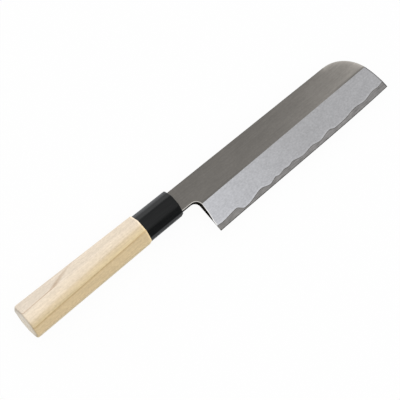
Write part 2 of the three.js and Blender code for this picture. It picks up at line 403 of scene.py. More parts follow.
@dataclass(frozen=True)
class Finish:
    """A finish, which dresses a material of its own.

    Attributes:
        name: The material's name.
        roughness: How hazy its reflections are.
    """

    name: str
    roughness: float

    def dress(self, graph: FinishGraph) -> None:
        """Joins the finish's patterns to the shader of a material."""
        raise NotImplementedError(self.name)

    def make(self, bench: Bench) -> bpy.types.Material:
        """Builds the material.

        Args:
            bench: Where the knife's axes lie.

        Returns:
            The material.
        """
        graph = FinishGraph(self.name, bench)
        self.dress(graph)
        return graph.material


@dataclass(frozen=True)
class BrushedMetal(Finish):
    """Bare metal with fine polishing lines along the blade."""

    colour: Colour
    line_depth: float = 0.001
    line_shade: float = 0.16
    patchiness: float = 0.1

    LINES = Pattern(0.05, 1.3, 5.0)
    PATCHES = Pattern(0.06, 0.14, 3.0)
    GRAIN = Pattern(0.5, 0.8, 4.0)
    LINE_HAZE = 0.25

    def paint(self, graph: FinishGraph) -> Value:
        """Returns the metal's own colour."""
        return linear(self.colour)

    def dress(self, graph: FinishGraph) -> None:
        """Joins polishing lines, patches and grain to the shader.

        Args:
            graph: The material's graph.
        """
        lines = graph.noise(self.LINES)
        factors = [
            graph.swing(lines, self.line_shade),
            graph.swing(graph.noise(self.PATCHES), self.patchiness),
            graph.swing(graph.noise(self.GRAIN), self.patchiness),
        ]
        graph.set(
            Base_Color=graph.tint(self.paint(graph), *factors),
            Metallic=1.0,
            Roughness=graph.times(graph.swing(lines, self.LINE_HAZE), self.roughness),
        )
        graph.relief(lines, self.line_depth)


@dataclass(frozen=True)
class PolishedFlat(BrushedMetal):
    """The flat above the ridge: brushed metal with a painted highlight that grows towards the rounded nose.
    """

    ridge_start: float = 0.0
    ridge_slope: float = 0.0
    tip_x: float = 0.0

    # The painted highlight: the flat is lighter towards the tip, and brighter still close to the nose's
    # outline.
    BASE_SHADE = 0.962
    BROAD_REACH = 57.5
    BROAD_LEAN = -1.54
    BROAD_GAIN = 1.42
    RIM_REACH = 2.0
    RIM_GAIN = 1.51
    RIDGE_LINE = (1.9, 0.7)
    NOSE_END = Zone(0.38, 0.7, -0.43)
    HEEL_END = Zone(0.12, 0.05, -0.13)

    def paint(self, graph: FinishGraph) -> Value:
        """Colours the flat with a painted highlight that grows towards the tip and the nose, and a dark line
        along the ridge.

        Args:
            graph: The material's graph.

        Returns:
            The colour.
        """
        x, y, _ = graph.split(graph.place)
        above = graph.minus(y, graph.scaled(x, self.ridge_slope, self.ridge_start))
        from_tip = graph.scaled(above, self.BROAD_LEAN, graph.minus(x, self.tip_x))
        broad = graph.math("EXPONENT", graph.over(from_tip, self.BROAD_REACH))
        rim = graph.math("EXPONENT", graph.over(graph.measure(Measure.FROM_NOSE), -self.RIM_REACH))
        gleam = graph.scaled(rim, self.RIM_GAIN, graph.scaled(broad, self.BROAD_GAIN, self.BASE_SHADE))
        depth = graph.zone(broad, self.HEEL_END, graph.zone(broad, self.NOSE_END, 0.0))
        ridge_line = graph.shade(graph.progress(above, *self.RIDGE_LINE), depth)
        return graph.tint(linear(self.colour), gleam, ridge_line)


@dataclass(frozen=True)
class HighlitCorner(BrushedMetal):
    """A polished rounded corner, painted with the bright highlight that it catches: pale beside the bevel,
    greyer beside the flat.
    """

    flat_colour: Colour = (0, 0, 0)
    bevel_top: float = 0.0

    BLEND = 5.0

    def paint(self, graph: FinishGraph) -> Value:
        """Returns a colour that turns pale from the flat to the bevel."""
        share = graph.progress(graph.split(graph.place)[1], self.bevel_top, self.bevel_top - self.BLEND)
        return graph.blend(share, linear(self.flat_colour), linear(self.colour))


@dataclass(frozen=True)
class FadingFinish(Finish):
    """A finish whose colour changes along the blade, with a thin dark line round the nose.

    Attributes:
        heel_colour: Colour at the heel end.
        nose_colour: Colour at the nose end.
        start: Where the change begins.
        end: Where it is full.
    """

    heel_colour: Colour
    nose_colour: Colour
    start: float
    end: float

    END_SOFTNESS = 0.0
    NOSE_LINE = Zone(1.25, 0.7, -0.5)

    def fade(self, graph: FinishGraph) -> Socket:
        """Adds the change of colour.

        Args:
            graph: The material's graph.

        Returns:
            The colour.
        """
        forth = graph.progress(graph.split(graph.place)[0], self.start, self.end)
        share = graph.math("SMOOTH_MIN", forth, 1.0, self.END_SOFTNESS)
        return graph.blend(share, linear(self.heel_colour), linear(self.nose_colour))

    def nose_line(self, graph: FinishGraph) -> Socket:
        """Returns a factor about 1 that darkens the line round the nose."""
        return graph.zone(graph.measure(Measure.FROM_NOSE), self.NOSE_LINE)


@dataclass(frozen=True)
class HazyBevel(FadingFinish):
    """Soft iron rubbed to a pale mist on stones, with faint layers that echo the weld line."""

    CLOUDS = Pattern(0.09, 0.14, 4.0, 0.12)
    GRAINS = Pattern(0.55, 0.8, 5.0, 0.24)
    SCRATCHES = Pattern(0.06, 2.2, 3.0, 0.14)
    SCRATCH_TURN = math.radians(62)
    SCRATCH_DEPTH = 0.002
    LAYER_TURNS = 3.4
    LAYER_WANDER = Pattern(0.05, 0.2, 2.0)
    LAYER_WANDER_TURNS = 9.0
    LAYER_REACH = Zone(8.0, 0.6, 0.028)
    MIST_REACH = (1.9, 0.2)
    MIST_FALL = 1.5
    MIST_SHADE = 0.15
    END_SOFTNESS = 0.2

    def dress(self, graph: FinishGraph) -> None:
        """Joins clouds, stone scratches, the layers and the mist at the weld to the shader.

        Args:
            graph: The material's graph.
        """
        clouds = graph.noise(self.CLOUDS)
        grains = graph.noise(self.GRAINS)
        turned = graph.mapped(graph.place, Rotation=(0, 0, self.SCRATCH_TURN))
        scratches = graph.noise(self.SCRATCHES, turned)
        from_weld = graph.measure(Measure.FROM_WELD)
        wander = graph.times(graph.noise(self.LAYER_WANDER), self.LAYER_WANDER_TURNS)
        wave = graph.math("SINE", graph.scaled(from_weld, self.LAYER_TURNS, wander))
        fading = graph.zone(from_weld, self.LAYER_REACH, 0.0)
        mist = graph.math("POWER", graph.progress(from_weld, *self.MIST_REACH), self.MIST_FALL)
        colour = graph.tint(
            self.fade(graph),
            graph.swing(clouds, self.CLOUDS.shade),
            graph.swing(grains, self.GRAINS.shade),
            graph.swing(scratches, self.SCRATCHES.shade),
            graph.shade(wave, fading),
            graph.shade(mist, self.MIST_SHADE),
            self.nose_line(graph),
        )
        haze = graph.times(graph.swing(clouds, self.CLOUDS.shade), self.roughness)
        graph.set(Base_Color=colour, Metallic=1.0, Roughness=haze)
        graph.relief(graph.total(scratches, grains), self.SCRATCH_DEPTH)


@dataclass(frozen=True)
class HardSteelBand(FadingFinish):
    """The hard steel that shows along the edge, with a dark line where it meets the soft iron."""

    line_colour: Colour
    line_width: float

    CLOUDS = Pattern(0.2, 0.5, 3.0, 0.45)
    LINES = Pattern(0.12, 1.6, 4.0, 0.45)
    LINE_HAZE = 0.2
    LINE_DEPTH = 0.0015
    WELD_CORE = 0.35

    def dress(self, graph: FinishGraph) -> None:
        """Joins the weld line, clouds and fine lines to the shader.

        Args:
            graph: The material's graph.
        """
        lines = graph.noise(self.LINES)
        depth = graph.times(graph.measure(Measure.FROM_WELD), -1.0)
        past_line = graph.progress(depth, self.line_width * self.WELD_CORE, self.line_width)
        colour = graph.tint(
            graph.blend(past_line, linear(self.line_colour), self.fade(graph)),
            graph.mottle(self.CLOUDS),
            graph.swing(lines, self.LINES.shade),
            self.nose_line(graph),
        )
        haze = graph.times(graph.swing(lines, self.LINE_HAZE), self.roughness)
        graph.set(Base_Color=colour, Metallic=1.0, Roughness=haze)
        graph.relief(lines, self.LINE_DEPTH)


@dataclass(frozen=True)
class SpottedFinish(Finish):
    """An uneven skin with spots of another colour."""

    colour: Colour
    spot_colour: Colour

    GRAIN: ClassVar[Pattern]
    SPOTS: ClassVar[Span]
    HAZE: ClassVar[float]
    DEPTH: ClassVar[float]
    GLOSS = 0.5

    def dress(self, graph: FinishGraph) -> None:
        """Joins the spots and the relief to the shader.

        Args:
            graph: The material's graph.
        """
        grain = graph.noise(self.GRAIN)
        spots = graph.progress(grain, *self.SPOTS)
        graph.set(
            Base_Color=graph.blend(spots, linear(self.colour), linear(self.spot_colour)),
            Roughness=graph.times(graph.swing(grain, self.HAZE), self.roughness),
            Specular_IOR_Level=self.GLOSS,
        )
        graph.relief(grain, self.DEPTH)


@dataclass(frozen=True)
class ScaleAndPaintedShade(SpottedFinish):
    """Near black with spots of rubbed iron: the skin of the fire on the tang, and painted shade on the choil
    and the neck.
    """

    GRAIN = Pattern(0.7, 0.9, 5.0)
    SPOTS = (0.56, 0.74)
    HAZE = 0.3
    DEPTH = 0.02
    # No gloss, so that the painted shade stays near black.
    GLOSS = 0.0


@dataclass(frozen=True)
class AmberWax(SpottedFinish):
    """Dull wax that seals the slot round the tang, with spots of dirt."""

    GRAIN = Pattern(0.5, 0.6, 3.0)
    SPOTS = (0.4, 0.7)
    HAZE = 0.2
    DEPTH = 0.08


@dataclass(frozen=True)
class PaleWood(Finish):
    """Plain sanded wood, cut from curved growth layers that run nearly along the grip.

    Attributes:
        lean: How far the layers lean over from upright, in degrees, seen from the butt.
        slope: Rise of the layers for each millimetre along the grip.
        bend: How strongly the layers curve across the grip.
        fan: How much the layers open out towards the blade, for each millimetre.
        middle: Where along the knife the layers have their stated depth.
    """

    lean: float
    slope: float
    bend: float
    fan: float
    middle: float
    axis_height: float
    butt_x: float
    front_x: float

    HEART = (219, 196, 155)
    DARK_LINE = (197, 170, 126)
    HONEY = (222, 201, 158)
    STRAW = (220, 200, 167)
    CREAM = (233, 216, 191)
    PALE = (236, 221, 201)
    BROWN = (190, 164, 136)
    SAP = (230, 216, 198)
    END_GRAIN = (213, 207, 197)
    # Depths of the growth layers, and the colour at each.
    LAYERS = (
        (-7.4, HONEY), (-3.4, HEART), (1.95, HEART), (3.27, DARK_LINE), (3.65, HONEY), (6.6, STRAW),
        (7.85, CREAM), (11.75, PALE), (12.05, SAP), (13.4, SAP),
    )
    DRIFT = Pattern(0.018, 0.03, 1.0)
    DRIFT_REACH = 0.06
    BROWN_DEPTH = 12.04
    BROWN_HALF = 0.28
    BROWN_EDGE = (1.0, 0.2)
    BROWN_FADE = Zone(-80.0, -108.0, 0.75)
    UPPER_SIDE = Zone(5.0, 5.7, -0.13)
    RING_TURNS = 3.9
    RING_START = 0.6
    RING_THINNESS = 5.0
    RING_SHADE = -0.028
    FIBRES = Pattern(0.04, 1.3, 5.0, 0.16)
    FIBRE_HAZE = 0.2
    FIBRE_DEPTH = 0.03
    PORES = Pattern(0.4, 2.4, 2.0)
    PORE_MARKS = (0.64, 0.78)
    PORE_SHADE = -0.1
    PORE_DEPTH = 0.4
    BLUSH = Pattern(0.02, 0.06, 2.0, 0.05)
    FLECKS = Pattern(0.5, 0.8, 4.0, 0.2)
    END_REACH = Zone(1.3, 0.8, 0.75)
    BUTT_RIM = ((1.9, 1.4), (0.7, 1.0))
    BUTT_RIM_SHADE = -0.26
    # A painted highlight on the front rim, and painted shade on the side towards the spine that lightens a
    # little further out.
    FRONT_RIM = Zone(-1.7, -0.8, 0.3)
    SPINE_SIDE = Zone(4.6, 6.4, -0.118)
    FAR_SIDE = Zone(7.0, 11.0, 0.035)
    GLOSS = 0.35

    def depth(self, graph: FinishGraph) -> Socket:
        """Adds the nodes that tell which growth layer a place is in.

        Args:
            graph: The material's graph.

        Returns:
            The layer's depth in millimetres.
        """
        x, y, z = graph.split(graph.place)
        height = graph.minus(z, self.axis_height)
        forward = graph.minus(x, self.middle)
        sine, cosine = math.sin(math.radians(self.lean)), math.cos(math.radians(self.lean))
        across = graph.scaled(y, cosine, graph.times(height, sine))
        aside = graph.scaled(y, -sine, graph.times(height, cosine))
        bow = graph.times(graph.times(aside, aside), self.bend)
        rise = graph.times(forward, self.slope)
        opening = graph.times(graph.times(forward, across), self.fan)
        wander = graph.scaled(graph.noise(self.DRIFT), 2 * self.DRIFT_REACH, -self.DRIFT_REACH)
        return graph.total(across, bow, rise, opening, wander)

    def brown_line(self, graph: FinishGraph, layer: Socket) -> Socket:
        """Adds the brown line, of even width on both sides of the ridge, that fades towards the blade.

        Args:
            graph: The material's graph.
            layer: The layer's depth.

        Returns:
            How brown the wood is, 0 to 1.
        """
        x, y, _ = graph.split(graph.place)
        half = graph.zone(y, self.UPPER_SIDE, self.BROWN_HALF)
        gap = graph.math("ABSOLUTE", graph.minus(layer, self.BROWN_DEPTH))
        near = graph.progress(graph.over(gap, half), *self.BROWN_EDGE)
        return graph.times(near, graph.zone(x, self.BROWN_FADE, 0.0))

    def grain_colour(self, graph: FinishGraph, layer: Socket) -> Socket:
        """Colours the growth layers, with end grain at the butt.

        Args:
            graph: The material's graph.
            layer: The layer's depth.

        Returns:
            The colour.
        """
        lowest, highest = self.LAYERS[0][0], self.LAYERS[-1][0]
        stops = [((depth - lowest) / (highest - lowest), colour) for depth, colour in self.LAYERS]
        colour = graph.ramp(graph.progress(layer, lowest, highest), stops)
        colour = graph.blend(self.brown_line(graph, layer), colour, linear(self.BROWN))
        from_butt = graph.minus(graph.split(graph.place)[0], self.butt_x)
        return graph.blend(graph.zone(from_butt, self.END_REACH, 0.0), colour, linear(self.END_GRAIN))

    def side_shades(self, graph: FinishGraph) -> list[Socket]:
        """Darkens the butt's rim, paints a highlight on the front rim, and paints shade on the side towards
        the spine.

        Args:
            graph: The material's graph.

        Returns:
            Factors about 1 for the butt's rim, the front rim's painted highlight and the spine side's painted
            shade.
        """
        x, y, _ = graph.split(graph.place)
        from_butt = graph.minus(x, self.butt_x)
        butt_rim = graph.times(*(graph.progress(from_butt, *span) for span in self.BUTT_RIM))
        return [
            graph.shade(butt_rim, self.BUTT_RIM_SHADE),
            graph.zone(graph.minus(x, self.front_x), self.FRONT_RIM),
            graph.zone(y, self.SPINE_SIDE, graph.zone(y, self.FAR_SIDE)),
        ]

    def dress(self, graph: FinishGraph) -> None:
        """Joins the growth layers, rings, fibres, pores and rims to the shader.

        Args:
            graph: The material's graph.
        """
        layer = self.depth(graph)
        rings = graph.math("SINE", graph.scaled(layer, self.RING_TURNS, self.RING_START))
        thin_rings = graph.math("POWER", graph.scaled(rings, 0.5, 0.5), self.RING_THINNESS)
        fibres = graph.noise(self.FIBRES)
        pores = graph.progress(graph.noise(self.PORES), *self.PORE_MARKS)
        colour = graph.tint(
            self.grain_colour(graph, layer),
            graph.shade(thin_rings, self.RING_SHADE),
            graph.swing(fibres, self.FIBRES.shade),
            graph.shade(pores, self.PORE_SHADE),
            graph.mottle(self.BLUSH),
            graph.mottle(self.FLECKS),
            *self.side_shades(graph),
        )
        haze = graph.scaled(fibres, self.FIBRE_HAZE, self.roughness)
        graph.set(Base_Color=colour, Roughness=haze, Specular_IOR_Level=self.GLOSS)
        graph.relief(graph.minus(fibres, graph.times(pores, self.PORE_DEPTH)), self.FIBRE_DEPTH)


@dataclass(frozen=True)
class BlackHorn(Finish):
    """Polished black horn, with a trace of streaks along the handle, rubbed dull at its top and bottom, and
    painted paler there as the reflections those ridges catch.
    """

    colour: Colour
    streak_colour: Colour
    painted_sheen_colour: Colour

    STREAKS = Pattern(0.07, 0.8, 4.0)
    STREAK_MARKS = (0.45, 0.75)
    SCUFFS = Pattern(0.4, 2.6, 3.0)
    SCUFF_HAZE = 0.22
    SCUFF_DEPTH = 0.006
    # The top, the upper side and the bottom are rougher, and paler by painted reflection.
    TOP_WEAR_AND_SHEEN = (7.6, 10.8)
    SIDE_WEAR_AND_SHEEN = (Zone(4.2, 4.8, 0.09), Zone(-9.5, -9.9, 0.42))
    WORN_HAZE = 0.25
    GLOSS = 0.2
    DULL_UNDERSIDE = Zone(-10.2, -10.7, -0.18)

    def dress(self, graph: FinishGraph) -> None:
        """Joins streaks, scuffs and wear to the shader.

        Args:
            graph: The material's graph.
        """
        _, y, _ = graph.split(graph.place)
        streaks = graph.progress(graph.noise(self.STREAKS), *self.STREAK_MARKS)
        scuffs = graph.noise(self.SCUFFS)
        wear_and_sheen = graph.progress(y, *self.TOP_WEAR_AND_SHEEN)
        for zone in self.SIDE_WEAR_AND_SHEEN:
            wear_and_sheen = graph.zone(y, zone, wear_and_sheen)
        horn = graph.blend(streaks, linear(self.colour), linear(self.streak_colour))
        haze = graph.scaled(wear_and_sheen, self.WORN_HAZE, self.roughness)
        graph.set(
            Base_Color=graph.blend(wear_and_sheen, horn, linear(self.painted_sheen_colour)),
            Roughness=graph.times(graph.swing(scuffs, self.SCUFF_HAZE), haze),
            Specular_IOR_Level=graph.zone(y, self.DULL_UNDERSIDE, self.GLOSS),
        )
        graph.relief(scuffs, self.SCUFF_DEPTH)


class Face(IntEnum):
    """Faces of the blade that differ in finish, in the order of the material slots."""

    FLAT = 0
    BEVEL = 1
    EASED = 2
    SPINE = 3
    SCALE = 4
    BAND = 5
    CUTTING = 6
    RIM = 7
    HOLLOW = 8
    CORNER = 9


class Corner(IntEnum):
    """Parts of the rounded corners along the outline."""

    NONE = 0
    UPPER = 1
    LINE = 2
    DARK = 3


class Rim(IntEnum):
    """Stretches of the blade's outline."""

    SPINE = 0
    NOSE = 1
    EDGE = 2
    CHOIL = 3
    NECK = 4
    SHOULDER = 5


def rows(x: Array, y: Union[Array, float]) -> Array:
    """Returns a line as rows of x and y, level where y is one number."""
    return np.column_stack([x, np.broadcast_to(y, np.shape(x))])


def upright(x: float, low: float, high: float) -> Array:
    """Returns a line that crosses the blade at one place."""
    return np.array([[x, low], [x, high]])


def arc(centre: Span, radius: Union[Array, float], start: float, end: float, steps: int) -> Array:
    """Returns points along an arc, with its angles in radians."""
    turn = np.linspace(start, end, steps + 1)
    return rows(centre[0] + radius * np.cos(turn), centre[1] + radius * np.sin(turn))


def distance_to_line(points: Array, line: Array) -> tuple[Array, Array]:
    """Measures how far points are from a line.

    Args:
        points: Rows of x and y.
        line: Points of the line, in order.

    Returns:
        The distance of each point, and the place of the nearest stretch of the line.
    """
    start, step = line[:-1], np.diff(line, axis=0)
    length = np.maximum((step**2).sum(axis=1), LEAST_SQUARE)
    offset = points[:, None, :] - start[None]
    share = np.clip((offset * step[None]).sum(axis=2) / length, 0, 1)
    gap = np.linalg.norm(offset - share[..., None] * step[None], axis=2)
    return gap.min(axis=1), gap.argmin(axis=1)


def inside(points: Array, outline: Array) -> Array:
    """Tells which points lie inside a closed outline.

    Args:
        points: Rows of x and y.
        outline: Points of the outline, in order.

    Returns:
        True for each point inside.
    """
    after = np.roll(outline, -1, axis=0)
    x, y = points[:, 0, None], points[:, 1, None]
    crosses = (outline[None, :, 1] > y) != (after[None, :, 1] > y)
    rise = np.where(crosses, after[None, :, 1] - outline[None, :, 1], 1.0)
    at = outline[None, :, 0] + (y - outline[None, :, 1]) * (after - outline)[None, :, 0] / rise
    return (crosses & (x < at)).sum(axis=1) % 2 == 1


@dataclass
class Plan:
    """Lines drawn in plan view, which are turned into triangles.

    Attributes:
        points: The points of all lines.
        edges: Pairs of places in the points.
    """

    points: list[Vector] = field(default_factory=list)
    edges: list[tuple[int, int]] = field(default_factory=list)

    MERGE_GAP = 1e-4
    LEAST_AREA = 1e-9

    def draw(self, line: Array, closed: bool = False) -> None:
        """Adds a line through points.

        Args:
            line: Rows of x and y.
            closed: Whether the last point joins the first.
        """
        first = len(self.points)
        self.points.extend(Vector((float(x), float(y))) for x, y in line)
        last = len(self.points)
        self.edges.extend((place, place + 1) for place in range(first, last - 1))
        if closed:
            self.edges.append((last - 1, first))

    def triangles(self, keep: Callable[[Array], Array]) -> tuple[Array, Array]:
        """Fills the plan with triangles that follow its lines.

        Args:
            keep: Tells which triangles stay, from their middle points.

        Returns:
            The points, and the triangles as rows of three places, anticlockwise.
        """
        found = delaunay_2d_cdt(self.points, self.edges, [], 0, self.MERGE_GAP)
        points = np.array([[p.x, p.y] for p in found[0]])
        faces = np.array([list(face) for face in found[2]])
        faces = faces[keep(points[faces].mean(axis=1))]
        a, b, c = (points[faces[:, corner]] for corner in range(3))
        turn = (b[:, 0] - a[:, 0]) * (c[:, 1] - a[:, 1]) - (b[:, 1] - a[:, 1]) * (c[:, 0] - a[:, 0])
        faces = np.where((turn < 0)[:, None], faces[:, ::-1], faces)[np.abs(turn) > self.LEAST_AREA]
        used, faces = np.unique(faces, return_inverse=True)
        return points[used], faces.reshape(-1, 3)


@dataclass
class Shell:
    """A closed mesh in the making.

    Attributes:
        corners: Its corners.
        faces: Places of the corners of each face.
        kinds: What each face is.
    """

    corners: list[tuple[float, float, float]]
    faces: list[list[int]] = field(default_factory=list)
    kinds: list[Face] = field(default_factory=list)

    def add(self, face: Iterable[int], kind: Face) -> None:
        """Adds a face, without repeats of one corner, if three corners are left.

        Args:
            face: Places of its corners.
            kind: What the face is.
        """
        ring = list(dict.fromkeys(int(corner) for corner in face))
        if len(ring) > 2:
            self.faces.append(ring)
            self.kinds.append(kind)


@dataclass(frozen=True)
class Ease:
    """A rounded corner along the outline.

    Attributes:
        line: Width of its inner part, which is painted with a bright highlight along the choil, the neck, the
            nose and the back.
        depth: How far the surface falls at the outline.
        dark: Width of its outer part, which is painted near black as shade on the blade's thickness.
    """

    line: float
    depth: float
    dark: float = 0.0


Corners = tuple[Ease, Ease]


@dataclass
class Blade:
    """The laminated blade: soft iron on the face, hard steel along the edge and over the whole back."""

    bench: Bench
    edge_length: float = 181.0
    neck_length: float = 14.4
    spine_rise: float = 8.6
    neck_drop: float = 9.1
    heel_drop: float = 37.2
    tip_drop: float = 34.1
    edge_belly: float = 0.7
    edge_belly_lean: float = 2.0
    choil_radius: float = 5.0
    choil_lean: float = -0.25
    shoulder_round: float = 1.5
    shoulder_x: float = 0.1
    nose_top_radius: float = 29.0
    nose_front_radius: float = 69.0
    nose_end_angle: float = math.radians(89)
    heel_thickness: float = 4.0
    tip_thickness: float = 3.0
    heel_bevel_width: float = 23.5
    tip_bevel_width: float = 22.8
    cutting_width: float = 0.5
    cutting_height: float = 0.14
    edge_land: float = 0.05
    wheel_radius: float = 590.0
    spine_rim: float = 2.2
    edge_rim: float = 1.6
    heel_rim: float = 2.0
    nose_rim: float = 2.4
    hollow_round: float = 16.0
    steel_start: float = 6.0
    steel_thickness: float = 0.9
    wave_reach: float = 7.0
    weld_level_start: float = 14.0
    weld_gap: float = 0.05
    tang_length: float = 92.0
    tang_root_height: float = 10.5
    tang_end_height: float = 5.0
    tang_face_step: float = 0.3
    tang_end_thickness: float = 2.2
    spine_ease: Ease = Ease(0.35, 0.35)
    # The choil's corner ends in a near-black part: painted shade on the blade's thickness, which grows along
    # the choil and is thinner along the neck.
    choil_ease: Ease = Ease(0.5, 0.45, dark=1.0)
    back_ease: Ease = Ease(0.22, 0.22)
    choil_line_fade: float = 4.0
    choil_dark_start: float = 7.5
    choil_dark_fade: float = 8.0
    neck_dark: float = 0.45
    bevel_fade: float = 95.0
    band_fade: float = 110.0

    # Where the weld line turns: the distance from the heel, and the width of the steel band there.
    WELD_TURNS = (
        (0, 4.6), (5, 4.1), (20, 5.2), (26, 1.5), (29, 1.6), (45, 4.4), (53, 2.4), (60, 4.1),
        (63, 3.3), (69, 4.3), (74, 3.7), (78, 4.7), (88, 3.0), (99, 4.2), (107, 2.9), (118, 4.8),
        (124, 3.1), (133, 3.2), (147, 4.8), (157, 3.7), (169, 5.3), (174, 4.8), (181, 5.5),
    )

    # How many points the lines of the outline and of the plan have, and which of them a shorter line keeps.
    SPINE_POINTS = 35
    NOSE_STEPS = 28
    EDGE_POINTS = 140
    CHOIL_POINTS = 22
    BEND_STEPS = 12
    NECK_POINTS = 5
    ROUND_STEPS = 6
    WELD_POINTS = 150
    RIDGE_POINTS = 60
    ECHO_POINTS = 120
    HOLLOW_POINTS = 110
    HOLLOW_LINE_POINTS = slice(2, -2)
    NOSE_LEAD_POINTS = 9

    # Where the plan has lines, in millimetres or as shares of a corner or of the hollow.
    UPPER_CORNER_LINES = (0.12, 0.4, 1.0)
    LOWER_CORNER_LINES = ((0.0, 0.3), (0.0, 1.0), (0.4, 1.0), (1.0, 1.0))
    OVER_WELD = (0.5, 1.2, 2.2, 3.6, 5.4, 8.0)
    UNDER_WELD = (0.3, 0.8)
    FROM_NOSE = (1.6, 4.0, 7.5, 12.0, 18.0)
    FROM_TIP = (30.0, 40.0, 52.0, 66.0, 82.0, 100.0, 125.0, 150.0)
    HOLLOW_LINES = np.linspace(-0.9, 0.9, 13)

    # Small distances in millimetres, and the most that a rounded corner takes of a thickness.
    OVERHANG = 1.0
    POCKET_STEP = 0.02
    NECK_MARGIN = 0.05
    NEAR = 1e-3
    NO_GAP = 1e-6
    HOLLOW_LEAST = 0.4
    CORNER_LIMIT = 0.45

    def __post_init__(self) -> None:
        """Works out the ends of the outline and the two arcs of the nose."""
        self.face_corners = (self.spine_ease, self.choil_ease)
        self.back_corners = (self.back_ease, self.back_ease)
        self.tang_root_width = self.heel_thickness - 2 * self.tang_face_step
        self.pocket_x = self.steel_start - self.weld_gap
        self.heel_x = self.neck_length + self.choil_lean
        self.tip_x = self.heel_x + self.edge_length
        change = self.nose_top_radius - self.nose_front_radius
        drop = self.spine_rise + self.tip_drop
        end = self.nose_end_angle
        cosine = (self.nose_top_radius - self.nose_front_radius * math.cos(end) - drop) / change
        self.join_angle = math.acos(cosine)
        top_reach = self.nose_top_radius * math.sin(self.join_angle)
        front_reach = self.nose_front_radius * (math.sin(end) - math.sin(self.join_angle))
        self.nose_x = self.tip_x - top_reach - front_reach
        self.join_x = self.nose_x + top_reach
        self.top_centre = (self.nose_x, self.spine_rise - self.nose_top_radius)
        self.front_centre = (
            self.top_centre[0] + change * math.sin(self.join_angle),
            self.top_centre[1] + change * cosine,
        )

    def along(self, x: Array) -> Array:
        """Returns the share of the edge from heel to tip."""
        return (x - self.heel_x) / self.edge_length

    def chord_y(self, x: Array) -> Array:
        """Returns where the straight line from heel to tip is."""
        return -self.heel_drop + (self.heel_drop - self.tip_drop) * self.along(x)

    def edge_y(self, x: Array) -> Array:
        """Returns where the cutting edge is, which bellies slightly."""
        leaned = np.maximum(0, self.along(x)) ** self.edge_belly_lean
        return self.chord_y(x) - 4 * self.edge_belly * leaned * (1 - leaned)

    def ridge_y(self, x: Array) -> Array:
        """Returns where the ridge between the flat and the bevel is."""
        change = self.tip_bevel_width - self.heel_bevel_width
        return self.chord_y(x) + self.heel_bevel_width + change * self.along(x)

    def thickness(self, x: Array) -> Array:
        """Returns the thickness at the flat, which falls from heel to tip."""
        fall = self.heel_thickness - self.tip_thickness
        return self.heel_thickness - fall * np.maximum(0, self.along(x))

    def bevel_z(self, x: Array, from_edge: Array) -> Array:
        """Finds the height of the bevel.

        Args:
            x: Places along the knife.
            from_edge: Distances from the edge.

        Returns:
            The heights.
        """
        width = self.ridge_y(x) - self.edge_y(x)
        share = (from_edge - self.cutting_width) / (width - self.cutting_width)
        return self.cutting_height + (self.thickness(x) - self.cutting_height) * share

    def face_z(self, x: Array, y: Array) -> Array:
        """Finds the height of the bevelled side: the flat, the bevel or the cutting bevel.

        Args:
            x: Places along the knife.
            y: Places across it.

        Returns:
            The heights.
        """
        from_edge = y - self.edge_y(x)
        rise = (self.cutting_height - self.edge_land) / self.cutting_width
        cutting = self.edge_land + rise * np.maximum(0, from_edge)
        broad = np.minimum(self.bevel_z(x, from_edge), self.thickness(x))
        return np.where(from_edge < self.cutting_width, cutting, broad)

    def band_width(self, x: Array) -> Array:
        """Finds the width of the hard steel band, which swings smoothly from turn to turn.

        Args:
            x: Places along the knife.

        Returns:
            The widths.
        """
        places, widths = (np.array(part, float) for part in zip(*self.WELD_TURNS))
        from_heel = np.clip(x - self.heel_x, places[0], places[-1])
        after = np.clip(np.searchsorted(places, from_heel, side="right"), 1, len(places) - 1)
        share = (from_heel - places[after - 1]) / (places[after] - places[after - 1])
        smooth = share * share * (3 - 2 * share)
        return widths[after - 1] + (widths[after] - widths[after - 1]) * smooth

    def weld_y(self, x: Array) -> Array:
        """Returns where the weld line is on the bevel."""
        return self.edge_y(x) + self.band_width(x)

    def weld_z(self, x: Array, y: Array) -> Array:
        """Finds the height of the weld: waved near the edge, level under the flat.

        Args:
            x: Places along the knife.
            y: Places across it.

        Returns:
            The heights.
        """
        wave = self.bevel_z(x, self.band_width(x))
        span = self.weld_level_start - self.wave_reach
        share = np.clip((y - self.edge_y(x) - self.wave_reach) / span, 0, 1)
        return wave + (self.steel_thickness - wave) * share

    def outline_top(self, x: Array) -> Array:
        """Finds the outline over the blade: the spine or the nose.

        Args:
            x: Places along the knife.

        Returns:
            Its places across the knife.
        """
        circles = ((self.top_centre, self.nose_top_radius), (self.front_centre, self.nose_front_radius))
        top, front = (
            centre[1] + np.sqrt(np.maximum(0, radius**2 - (x - centre[0]) ** 2)) for centre, radius in circles
        )
        return np.where(x <= self.nose_x, self.spine_rise, np.where(x <= self.join_x, top, front))

    def hollow(self, x: Array) -> tuple[Array, Array]:
        """Finds the hollow of the back.

        Args:
            x: Places along the knife.

        Returns:
            Its middle line, and half its width.
        """
        high = self.outline_top(x + self.nose_rim) - self.spine_rim
        low = self.edge_y(x) + self.edge_rim
        to_full = np.maximum(0, 1 - (x - self.heel_x - self.heel_rim) / self.hollow_round)
        half = (high - low) / 2 * np.sqrt(np.maximum(0, 1 - to_full**2))
        return (high + low) / 2, np.maximum(half, 0)

    def back_z(self, x: Array, y: Array) -> Array:
        """Returns the height of the back: flat on the rim, and an arc of the wheel in the hollow."""
        middle, half = self.hollow(x)
        return np.maximum(0, half**2 - (y - middle) ** 2) / (2 * self.wheel_radius)

